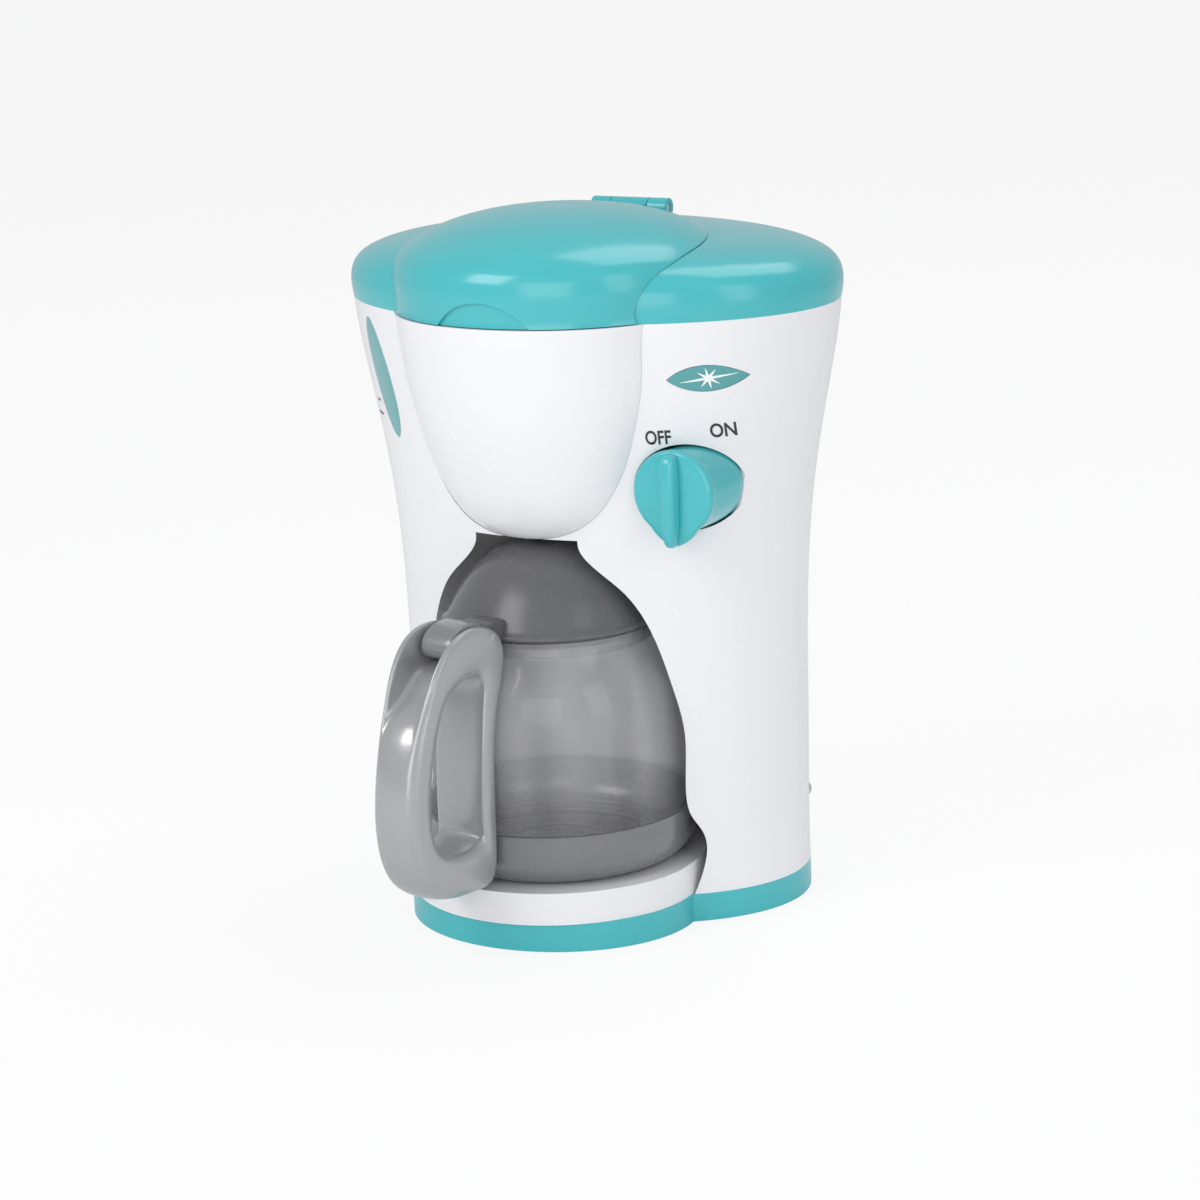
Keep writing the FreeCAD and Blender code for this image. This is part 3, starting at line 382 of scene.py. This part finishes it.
# Stations round the handle's loop: outer point, point on the finger gap, half width as a
# share of the horns', rounding of the outer and inner face, depth of the channel
HANDLE_LOOP = (
    ((49.6, 23.4), (53.5, 41.0), 0.97, 1.2, 1.0, 0),
    ((56, 22.0), (56.0, 38.6), 0.97, 2.0, 1.2, 0),
    ((68, 22.2), (67.0, 38.0), 0.95, 3.4, 1.4, 0),
    ((79, 25.6), (74.0, 41.0), 0.92, 4.6, 1.6, 0),
    ((86.5, 33.5), (77.6, 46.0), 0.90, 5.0, 1.8, 0),
    ((90, 45), (78.2, 53.5), 0.88, 5.0, 1.8, 0),
    ((90.3, 57), (77.6, 62.0), 0.88, 5.0, 1.8, 0),
    ((88.6, 70), (75.8, 71.0), 0.88, 5.0, 1.8, 0),
    ((85, 83), (73.2, 80.0), 0.90, 4.8, 1.8, 0.4),
    ((81.8, 90), (71.2, 84.6), 0.92, 4.2, 1.8, 4.2),
    ((78, 97.5), (69.8, 88.5), 0.95, 3.2, 1.8, 8.2),
    ((72, 105.5), (66.0, 92.2), 0.98, 2.0, 1.6, 10.6),
    ((65, 110.2), (60.5, 94.2), 1.0, 1.4, 1.4, 12.2),
    ((56, 112), (56.0, 94.6), 1.0, 1.2, 1.2, 13.2),
    ((47.5, 110.8), (51.6, 93.8), 1.0, 1.2, 1.2, 12.4),
    ((41.2, 107), (49.6, 90.6), 1.0, 1.2, 1.2, 9.0),
    ((38.9, 101), (50.6, 85.5), 1.0, 1.0, 1.0, 3.4),
    ((40.4, 94), (51.4, 80.0), 1.0, 0.6, 1.0, 0),
    ((43.6, 86), (52.2, 74.0), 1.0, 0.4, 1.0, 0),
    ((46.2, 77), (53.0, 67.0), 1.0, 0.3, 0.9, 0),
    ((47.4, 66), (53.6, 60.0), 1.0, 0.2, 0.8, 0),
    ((47.7, 54), (54.0, 52.0), 1.0, 0.2, 0.8, 0),
    ((47.9, 42), (54.0, 47.0), 1.0, 0.2, 0.8, 0),
    ((47.9, 30), (53.9, 43.6), 0.99, 0.3, 0.9, 0),
)
# Steps across the outer face and back across the inner one, as shares of the half width
OUTER_STEPS = (-1, -0.93, -0.85, -0.73, -0.655, -0.33, 0, 0.33, 0.655, 0.73, 0.85, 0.93, 1)
INNER_STEPS = (1, 0.8, 0.4, 0, -0.4, -0.8, -1)
# The channel's half width, the grip's share in the stations, and the inner face's width
CHANNEL = 0.66
GRIP_SHARE = 0.88
INNER_SHARE = 0.995


class OBJECT_OT_coffee_handle(bpy.types.Operator):
    """Make the carafe's loop handle with its two horns"""

    bl_idname = "object.coffee_handle"
    bl_label = "Carafe handle"

    def execute(self, context):
        sizes, colours = toy(context)
        horn = sizes.horn_half_width / MM
        grip = sizes.grip_half_width / MM
        rings = []
        for outer, inner, share, round_out, round_in, channel in HANDLE_LOOP:
            half = grip + (horn - grip) * (share - GRIP_SHARE) / (1 - GRIP_SHARE)
            way = (Vector(outer) - Vector(inner)).normalized()
            ring = []
            for step in OUTER_STEPS:
                drop = round_out * step**4
                if abs(step) < CHANNEL:
                    drop += channel
                spot = Vector(outer) - way * drop
                ring.append(by_handle(spot[0], spot[1], step * half))
            for step in INNER_STEPS:
                spot = Vector(inner) + way * round_in * step**4
                edge = half if abs(step) == 1 else half * INNER_SHARE
                ring.append(by_handle(spot[0], spot[1], step * edge))
            rings.append(ring)
        piece = from_rings("handle_loop", rings)
        silver = finish(
            "silver_plastic", colours.silver, 0.24, peel=0.02, speckle=700, metallic=0.4, coat=0.5
        )
        dress(piece, silver, "silver_plastic", "carafe", "carafe_handle")
        return {"FINISHED"}


BLOCK_EDGE = 1.3


def block_rings(outline, half):
    """A rounded slab between the handle's horns, along an outline of radius and height."""
    middle = sum((Vector(p) for p in outline), Vector((0, 0))) / len(outline)
    rings = []
    for across, inset in (
        (-half, BLOCK_EDGE),
        (-half + BLOCK_EDGE * 0.35, BLOCK_EDGE * 0.3),
        (-half + BLOCK_EDGE, 0),
        (0, 0),
        (half - BLOCK_EDGE, 0),
        (half - BLOCK_EDGE * 0.35, BLOCK_EDGE * 0.3),
        (half, BLOCK_EDGE),
    ):
        ring = []
        for point in outline:
            way = (Vector(point) - middle).normalized()
            spot = Vector(point) - way * inset
            ring.append(by_handle(spot[0], spot[1], across))
        rings.append(ring)
    return rings


# The carafe's lid, as points of radius and height: dome from its plug up to the hole at its
# top, plug's inner face, thumb lever and hinge knuckle
DOME = (
    (33.6, 95.4),
    (34.3, 95.5),
    (34.3, 101.3),
    (35.7, 101.4),
    (36.3, 101.8),
    (36.3, 102.9),
    (35.4, 103.4),
    (34.9, 103.6),
    (33.8, 105.4),
    (31.5, 110),
    (28.6, 115),
    (24.7, 120),
    (20.4, 124),
    (15.2, 127.2),
    (10.0, 128.6),
    (4.4, 128.9),
    (3.6, 128.6),
    (3.4, 127.2),
)
DOME_WALL = 1.8
DOME_ROOF = 1.2
PLUG_INSIDE = ((32.6, 101.6), (32.4, 96))
LEVER = (
    (44, 110.6),
    (50, 111.6),
    (56, 111.4),
    (61, 109.4),
    (63.4, 105.6),
    (62.6, 101.6),
    (58.6, 100.2),
    (52, 100.6),
    (46, 101.4),
    (43.6, 106),
)
KNUCKLE = (
    (31.5, 108.8),
    (37, 109.4),
    (42, 109.0),
    (43.2, 107),
    (43, 103),
    (38, 101.8),
    (33, 102.4),
    (31, 105),
)
LEVER_HALF = 6.3
KNUCKLE_HALF = 5.8


class OBJECT_OT_coffee_carafe_lid(bpy.types.Operator):
    """Make the carafe's domed lid, its knuckle and its thumb lever"""

    bl_idname = "object.coffee_carafe_lid"
    bl_label = "Carafe lid"

    def execute(self, context):
        _, colours = toy(context)
        graphite = finish("graphite_plastic", colours.graphite)
        lever_finish = finish(
            "lever_plastic",
            tuple(c * 2.1 for c in colours.graphite),
            0.26,
            drift=0.05,
            peel=0.03,
            speckle=700,
            metallic=0.3,
            coat=0.4,
            scuff=0.05,
        )
        under = [(radius - DOME_WALL, height - DOME_ROOF) for radius, height in DOME[16:6:-1]]
        dome = revolved("lid_dome", (*DOME, *under, *PLUG_INSIDE))
        dress(dome, graphite, "grey_plastic", "carafe_lid", "carafe_lid")
        lever = from_rings("thumb_lever", block_rings(LEVER, LEVER_HALF), closed=False)
        dress(lever, lever_finish, "grey_plastic", "carafe_lid")
        knuckle = from_rings("lid_knuckle", block_rings(KNUCKLE, KNUCKLE_HALF), closed=False)
        dress(knuckle, graphite, "grey_plastic", "carafe_lid")
        return {"FINISHED"}


# The floor inside the carafe's foot over its underside, and its rings: radius, height and
# half width
CUP_FLOOR = 1.6
FOOT_RINGS = ((40.5, 3.2, 1.6), (33.0, 2.2, 1.8), (18.0, 1.4, 1.4))


class OBJECT_OT_coffee_cup_rings(bpy.types.Operator):
    """Make the moulded rings that show on the floor of the carafe's foot"""

    bl_idname = "object.coffee_cup_rings"
    bl_label = "Foot rings"

    def execute(self, context):
        _, colours = toy(context)
        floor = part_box("carafe_cup")[0].z / MM + CUP_FLOOR
        graphite = finish("graphite_plastic", colours.graphite)
        for number, (radius, high, wide) in enumerate(FOOT_RINGS):
            outline = (
                (radius - wide, floor),
                (radius - wide * 0.7, floor + high * 0.8),
                (radius, floor + high),
                (radius + wide * 0.7, floor + high * 0.8),
                (radius + wide, floor),
            )
            ring = revolved(f"foot_ring_{number}", outline)
            dress(ring, graphite, "grey_plastic", "carafe")
        return {"FINISHED"}


KNOB_X = 53.5
KNOB_Z = 149.5
# Steps along the knob from its back: place on Y, radius share, pointer length
KNOB_STEPS = (
    (-27.2, 0.80, 0),
    (-27.1, 0.98, 0),
    (-29, 0.985, 0),
    (-40, 0.96, 0),
    (-47.6, 0.945, 0),
    (-48.2, 0.955, 0),
    (-48.4, 0.965, 0.9),
    (-48.7, 0.98, 2.9),
    (-49.3, 0.985, 3.6),
    (-50.3, 0.975, 3.5),
    (-50.9, 0.94, 2.9),
    (-51.2, 0.86, 1.6),
    (-51.3, 0.5, 0),
    (-51.3, 0.1, 0),
)
# The pointer's half angle in radians, and how sharply it ends
POINTER_SPREAD = 0.62
POINTER_POWER = 0.9
# The grip blade: its foot on Y and the height of its straight edge, its stations down the
# knob (height, half width, rise), and its section (share of half width, share of rise)
BLADE_BASE = -50.4
BLADE_EDGE = 0.9
BLADE_STATIONS = (
    (13.4, 0.6, 0.0),
    (13.2, 1.4, 1.6),
    (12.2, 2.2, 3.4),
    (9, 2.5, 4.2),
    (0, 2.5, 4.5),
    (-9, 2.4, 4.5),
    (-14, 2.0, 4.2),
    (-16.6, 1.4, 3.4),
    (-17.4, 0.7, 1.8),
    (-17.5, 0.4, 0.2),
)
BLADE_SECTION = ((-1.15, 0.35), (-1, 0.85), (-0.5, 1), (0.5, 1), (1, 0.85), (1.15, 0.35))
BLADE_FOOT = 1.35


class OBJECT_OT_coffee_knob(bpy.types.Operator):
    """Make the turning knob with its pointer and grip blade"""

    bl_idname = "object.coffee_knob"
    bl_label = "Turning knob"

    def execute(self, context):
        sizes, colours = toy(context)
        radius = sizes.knob_radius / MM
        rings = []
        for along, share, pointer in KNOB_STEPS:
            ring = []
            for n in range(ROUND_STEPS):
                angle = math.tau * n / ROUND_STEPS
                down = max(0.0, -math.cos(angle))
                near = max(0.0, 1 - math.acos(down) / POINTER_SPREAD)
                reach = radius * share + pointer * near**POINTER_POWER
                ring.append(
                    (KNOB_X + reach * math.sin(angle), along, KNOB_Z + reach * math.cos(angle))
                )
            rings.append(ring)
        teal = finish("teal_plastic", colours.teal, 0.2, coat=0.3)
        drum = from_rings("knob_drum", rings, closed=False, level=1)
        dress(drum, teal, "teal_plastic", "knob", "control_knob")
        blade = []
        for height, half, rise in BLADE_STATIONS:
            level = KNOB_Z + height
            ring = [(KNOB_X - half * BLADE_FOOT, BLADE_BASE, level)]
            for across, up in BLADE_SECTION:
                ring.append(
                    (KNOB_X + half * across, BLADE_BASE - BLADE_EDGE - rise * up, level)
                )
            ring.append((KNOB_X + half * BLADE_FOOT, BLADE_BASE, level))
            blade.append(ring)
        grip = from_rings("knob_blade", blade, closed=False)
        dress(grip, teal, "teal_plastic", "knob")
        return {"FINISHED"}


def skin(node):
    """The surface of a CAD node, to lay marks on."""
    form = bmesh.new()
    form.from_mesh(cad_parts[node].data)
    tree = BVHTree.FromBMesh(form)
    form.free()
    return tree


# Printed marks, in metres: height over the surface, thickness, and where their rays start
PRINT_LIFT = 0.00006
PRINT_THICKNESS = 0.00012
RAY_START_Y = -0.12


def printed(name, mesh):
    """A printed mark from a flat mesh that lies on its surface."""
    piece = bpy.data.objects.new(name, mesh)
    bpy.context.scene.collection.objects.link(piece)
    thicken = piece.modifiers.new("Thickness", "SOLIDIFY")
    thicken.thickness = PRINT_THICKNESS
    thicken.offset = 0
    return piece


def laid(name, mesh, tree):
    """A printed mark from a flat mesh that drops on a surface from the front."""
    for vertex in mesh.vertices:
        start = Vector((vertex.co.x, RAY_START_Y, vertex.co.z))
        spot, normal, _, _ = tree.ray_cast(start, Vector((0, 1, 0)))
        if spot is None:
            raise RuntimeError(f"{name} falls beside its surface at {tuple(start)}")
        vertex.co = spot + normal * PRINT_LIFT
    return printed(name, mesh)


# The words over the knob and their middles on X and Z
WORDS = (("OFF", 47.2, 166.7), ("ON", 64.6, 168.0))
# The font's size for capitals of height 1, its added weight in metres, and its narrowing
FONT_SHARE = 1.42
LETTER_WEIGHT = 0.00012
LETTER_SQUEEZE = 0.66


class OBJECT_OT_coffee_words(bpy.types.Operator):
    """Print OFF and ON over the knob"""

    bl_idname = "object.coffee_words"
    bl_label = "Switch words"

    def execute(self, context):
        sizes, colours = toy(context)
        ink = finish("printed_ink", colours.ink, 0.45, peel=0.02)
        tree = skin("front_housing")
        for word, x, z in WORDS:
            text = bpy.data.curves.new("word", "FONT")
            text.body = word
            text.size = sizes.letter_height * FONT_SHARE
            text.offset = LETTER_WEIGHT
            text.align_x = "CENTER"
            text.align_y = "CENTER"
            helper = bpy.data.objects.new("word_helper", text)
            context.scene.collection.objects.link(helper)
            context.view_layer.update()
            shaped = helper.evaluated_get(context.evaluated_depsgraph_get())
            mesh = bpy.data.meshes.new_from_object(shaped)
            bpy.data.objects.remove(helper)
            for vertex in mesh.vertices:
                flat = vertex.co.copy()
                vertex.co = Vector((x * MM + flat.x * LETTER_SQUEEZE, 0, z * MM + flat.y))
            piece = laid("word_" + word.lower(), mesh, tree)
            dress(piece, ink, "black_plastic", "housing")
        return {"FINISHED"}


# The lamp's rays, in metres: step of their middle from the lens's, number, turn of the first
# in degrees, long and short reach, half width, and how they narrow (step, share)
RAYS_SIDE = 0.0006
RAY_COUNT = 8
RAY_TURN = 8
RAY_LONG = 0.0082 * 0.93
RAY_SHORT = 0.0037 * 0.93
RAY_HALF = 0.00045
RAY_TAPER = ((0.0, 1.0), (0.35, 0.8), (0.7, 0.45), (1.0, 0.08))


class OBJECT_OT_coffee_lamp_rays(bpy.types.Operator):
    """Print the white rays on the lamp lens"""

    bl_idname = "object.coffee_lamp_rays"
    bl_label = "Lamp rays"

    def execute(self, context):
        low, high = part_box("light_lens")
        middle = Vector(((low.x + high.x) / 2 + RAYS_SIDE, 0, (low.z + high.z) / 2))
        tree = skin("light_lens")
        form = bmesh.new()
        for number in range(RAY_COUNT):
            angle = math.radians(RAY_TURN + 360 / RAY_COUNT * number)
            reach = RAY_LONG if number % 4 == 0 else RAY_SHORT
            along = Vector((math.cos(angle), 0, math.sin(angle)))
            beside = Vector((-along.z, 0, along.x)) * RAY_HALF
            points = []
            for step, share in RAY_TAPER:
                spot = middle + along * reach * step
                points.append(
                    (form.verts.new(spot - beside * share), form.verts.new(spot + beside * share))
                )
            for first, second in zip(points, points[1:]):
                form.faces.new((first[0], second[0], second[1], first[1]))
        mesh = bpy.data.meshes.new("lamp_rays")
        form.to_mesh(mesh)
        form.free()
        piece = laid("lamp_rays", mesh, tree)
        white = finish("ray_white", (0.92, 0.95, 0.95), 0.3)
        dress(piece, white, "white_plastic", "housing")
        return {"FINISHED"}


# The gauge's place round the tower, and its marks: distance from its middle, half thickness,
# and each one's height and length
GAUGE_TURN = math.radians(37)
MARK_SIDE = 8.6
MARK_HALF = 0.4
LEVEL_MARKS = ((14.5, 5.2), (9.5, 2.6), (-9.5, 2.6), (-14.5, 5.2))


class OBJECT_OT_coffee_level_marks(bpy.types.Operator):
    """Print plain level marks beside the gauge"""

    bl_idname = "object.coffee_level_marks"
    bl_label = "Level marks"

    def execute(self, context):
        _, colours = toy(context)
        ink = finish("printed_ink", colours.ink, 0.45, peel=0.02)
        low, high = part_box("level_gauge")
        centre = (low + high) / 2
        tree = skin("front_housing")
        back = Vector((-math.cos(GAUGE_TURN), math.sin(GAUGE_TURN), 0))
        form = bmesh.new()
        for height, reach in LEVEL_MARKS:
            corners = []
            for side, up in ((0, -1), (reach, -1), (reach, 1), (0, 1)):
                rise = Vector((0, 0, (height + up * MARK_HALF) * MM))
                guess = centre + back * (MARK_SIDE + side) * MM + rise
                spot, normal, _, _ = tree.find_nearest(guess)
                if normal.dot(guess) < 0:
                    normal = -normal
                corners.append(form.verts.new(spot + normal * PRINT_LIFT))
            form.faces.new(corners)
        mesh = bpy.data.meshes.new("level_marks")
        form.to_mesh(mesh)
        form.free()
        dress(printed("level_marks", mesh), ink, "black_plastic", "housing")
        return {"FINISHED"}


def node_finishes(colours):
    """The finish of each CAD node that stays in view."""
    teal = finish("teal_plastic", colours.teal, 0.2, coat=0.3)
    white = finish("white_plastic", colours.white, 0.24, drift=0.015, peel=0.03, coat=0.2)
    graphite = finish("graphite_plastic", colours.graphite)
    foot = finish(
        "foot_plastic",
        tuple(c * 1.6 for c in colours.graphite),
        drift=0.05,
        peel=0.03,
        speckle=700,
        metallic=0.2,
        coat=0.4,
    )
    clear = clear_finish()
    tinted = finish(
        "clear_teal", (0.16, 0.62, 0.64), 0.06, drift=0.05, peel=0.02, coat=0.6, clear=0.45
    )
    black = finish("black_plastic", (0.02, 0.02, 0.02), 0.45, drift=0.1, peel=0.2)
    steel = finish(
        "plated_steel",
        (0.62, 0.62, 0.63),
        0.28,
        drift=0.06,
        peel=0.1,
        speckle=1500,
        metallic=1.0,
    )
    rubber = finish(
        "pad_rubber", (0.035, 0.035, 0.035), 0.7, drift=0.12, peel=0.4, speckle=1800
    )
    board = finish("circuit_board", (0.02, 0.16, 0.06), 0.4, drift=0.12, peel=0.15)
    sleeve = finish("cell_sleeve", (0.05, 0.05, 0.055), 0.3, drift=0.05)
    lamp = finish("lamp_red", (0.75, 0.06, 0.04), 0.12, clear=0.5)
    return {
        teal: ("base_pan", "top_cover", "funnel_lid"),
        white: (
            "plate_deck",
            "front_housing",
            "rear_housing",
            "brew_funnel",
            "filter_basket",
            "knob_shaft",
            "battery_box",
            "battery_door",
        ),
        graphite: ("drip_spout",),
        foot: ("carafe_cup",),
        clear: ("carafe_jug",),
        tinted: ("light_lens", "level_gauge"),
        black: ("rotary_switch", "board_components", "speaker"),
        steel: (
            "base_screws",
            "housing_screws",
            "switch_screws",
            "board_screws",
            "door_screw",
            "battery_contacts",
            "lid_hinge_pin",
            "carafe_lid_pin",
        ),
        rubber: ("foot_pads",),
        board: ("circuit_board",),
        sleeve: ("batteries",),
        lamp: ("light_led",),
    }


class OBJECT_OT_coffee_finishes(bpy.types.Operator):
    """Give every CAD node that stays in view its finish"""

    bl_idname = "object.coffee_finishes"
    bl_label = "Finishes"

    def execute(self, context):
        _, colours = toy(context)
        for material, names in node_finishes(colours).items():
            for name in names:
                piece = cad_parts[name]
                if not piece.material_slots:
                    piece.data.materials.append(material)
                for place in piece.material_slots:
                    place.link = "OBJECT"
                    place.material = material
        return {"FINISHED"}


# The studio, in metres and watts: half of the floor and its depth under the pads, the white
# of the paper and the strength of the air, the lamps' aim, and each lamp's place, width,
# height and power
FLOOR_HALF = 4
FLOOR_DROP = 0.0002
PAPER_SHARE = 0.86
AIR_STRENGTH = 0.54
LAMP_AIM = (0, -0.02, 0.11)
LAMPS = (
    ("key_lamp", (-0.55, -1.15, 1.0), 0.7, 0.7, 6.6),
    ("side_lamp", (1.35, -0.55, 0.6), 0.5, 1.2, 2.6),
    ("front_lamp", (0.45, -1.4, 0.42), 0.9, 0.9, 4.2),
    ("top_lamp", (0.25, 0.5, 1.3), 0.8, 0.8, 4.0),
)
# The camera: turn, lift and roll, lens in millimetres, and distance and side steps in metres
CAMERA_TURN = math.radians(28.73)
CAMERA_LIFT = math.radians(14.07)
CAMERA_ROLL = math.radians(2.08)
CAMERA_LENS = 103.2
CAMERA_FAR = 1.2073
CAMERA_LEFT = 0.0018
CAMERA_UP = 0.0949


def lamp(name, spot, wide, tall, watts):
    """A soft rectangular lamp that shines at the toy."""
    light = bpy.data.lights.new(name, "AREA")
    light.shape = "RECTANGLE"
    light.size = wide
    light.size_y = tall
    light.energy = watts
    holder = bpy.data.objects.new(name, light)
    holder.location = spot
    way = Vector(LAMP_AIM) - Vector(spot)
    holder.rotation_euler = way.to_track_quat("-Z", "Y").to_euler()
    bpy.context.scene.collection.objects.link(holder)


class OBJECT_OT_coffee_stage(bpy.types.Operator):
    """Set the floor, the lamps, the pale surround and the camera"""

    bl_idname = "object.coffee_stage"
    bl_label = "Stage"

    def execute(self, context):
        scene = context.scene
        mesh = bpy.data.meshes.new("studio_floor")
        corners = [
            (x * FLOOR_HALF, y * FLOOR_HALF, 0) for x, y in ((-1, -1), (1, -1), (1, 1), (-1, 1))
        ]
        mesh.from_pydata(corners, [], [(0, 1, 2, 3)])
        floor = bpy.data.objects.new("studio_floor", mesh)
        scene.collection.objects.link(floor)
        floor.location.z = -FLOOR_DROP
        paper = bpy.data.materials.new("studio_paper")
        paper.use_nodes = True
        paper.node_tree.nodes.clear()
        sheet = NodeSheet(paper.node_tree)
        seen = sheet.add("ShaderNodeLightPath", out="Is Camera Ray")
        through = sheet.add("ShaderNodeLightPath", out="Is Transmission Ray")
        matt = sheet.add("ShaderNodeBsdfDiffuse", None, {"Color": (0.9, 0.9, 0.9, 1)}, "BSDF")
        white = sheet.add("ShaderNodeEmission", None, {"Color": (1, 1, 1, 1)}, "Emission")
        mixed = sheet.add(
            "ShaderNodeMixShader", None, {0: (seen + through) * PAPER_SHARE, 1: matt, 2: white}
        )
        sheet.add("ShaderNodeOutputMaterial", None, {"Surface": mixed})
        mesh.materials.append(paper)

        world = bpy.data.worlds.new("studio_air")
        world.use_nodes = True
        world.node_tree.nodes.clear()
        sheet = NodeSheet(world.node_tree)
        seen = sheet.add("ShaderNodeLightPath", out="Is Camera Ray")
        through = sheet.add("ShaderNodeLightPath", out="Is Transmission Ray")
        plain = sheet.add(
            "ShaderNodeBackground", None, {"Color": (0.97, 0.98, 1, 1), "Strength": AIR_STRENGTH}
        )
        bright = sheet.add("ShaderNodeBackground", None, {"Color": (1, 1, 1, 1), "Strength": 1.0})
        mixed = sheet.add("ShaderNodeMixShader", None, {0: seen + through, 1: plain, 2: bright})
        sheet.add("ShaderNodeOutputWorld", None, {"Surface": mixed})
        scene.world = world

        for row in LAMPS:
            lamp(*row)

        flat = math.cos(CAMERA_LIFT)
        back = Vector(
            (
                math.sin(CAMERA_TURN) * flat,
                -math.cos(CAMERA_TURN) * flat,
                math.sin(CAMERA_LIFT),
            )
        )
        right = Vector((math.cos(CAMERA_TURN), math.sin(CAMERA_TURN), 0))
        up = back.cross(right)
        across = right * math.cos(CAMERA_ROLL) - up * math.sin(CAMERA_ROLL)
        above = right * math.sin(CAMERA_ROLL) + up * math.cos(CAMERA_ROLL)
        eye = bpy.data.cameras.new("studio_camera")
        eye.lens = CAMERA_LENS
        eye.sensor_width = 36
        eye.clip_end = 20
        camera = bpy.data.objects.new("studio_camera", eye)
        place = back * CAMERA_FAR - right * CAMERA_LEFT + up * CAMERA_UP
        camera.matrix_world = Matrix.Translation(place) @ Matrix(
            (across, above, back)
        ).transposed().to_4x4()
        scene.collection.objects.link(camera)
        scene.camera = camera
        scene.view_settings.view_transform = "Standard"
        return {"FINISHED"}


STEPS = (
    OBJECT_OT_coffee_stage,
    OBJECT_OT_coffee_finishes,
    OBJECT_OT_coffee_handle,
    OBJECT_OT_coffee_carafe_lid,
    OBJECT_OT_coffee_cup_rings,
    OBJECT_OT_coffee_knob,
    OBJECT_OT_coffee_words,
    OBJECT_OT_coffee_lamp_rays,
    OBJECT_OT_coffee_level_marks,
)


class VIEW3D_PT_coffee_maker(bpy.types.Panel):
    """Lists the steps and the sizes and colours that they use"""

    bl_idname = "VIEW3D_PT_coffee_maker"
    bl_label = "Toy Coffee Maker"
    bl_space_type = "VIEW_3D"
    bl_region_type = "UI"
    bl_category = "Coffee Maker"

    def draw(self, context):
        for step in STEPS:
            self.layout.operator(step.bl_idname)
        for group in toy(context):
            box = self.layout.box()
            for name in group.__annotations__:
                box.prop(group, name)


CLASSES = (ToySizes, ToyColours, *STEPS, VIEW3D_PT_coffee_maker)


def register():
    for item in CLASSES:
        bpy.utils.register_class(item)
    bpy.types.Scene.toy_sizes = PointerProperty(type=ToySizes)
    bpy.types.Scene.toy_colours = PointerProperty(type=ToyColours)


def unregister():
    del bpy.types.Scene.toy_colours
    del bpy.types.Scene.toy_sizes
    for item in reversed(CLASSES):
        bpy.utils.unregister_class(item)


def main():
    register()
    for step in STEPS:
        group, name = step.bl_idname.split(".")
        getattr(getattr(bpy.ops, group), name)()


if __name__ == "__main__":
    main()
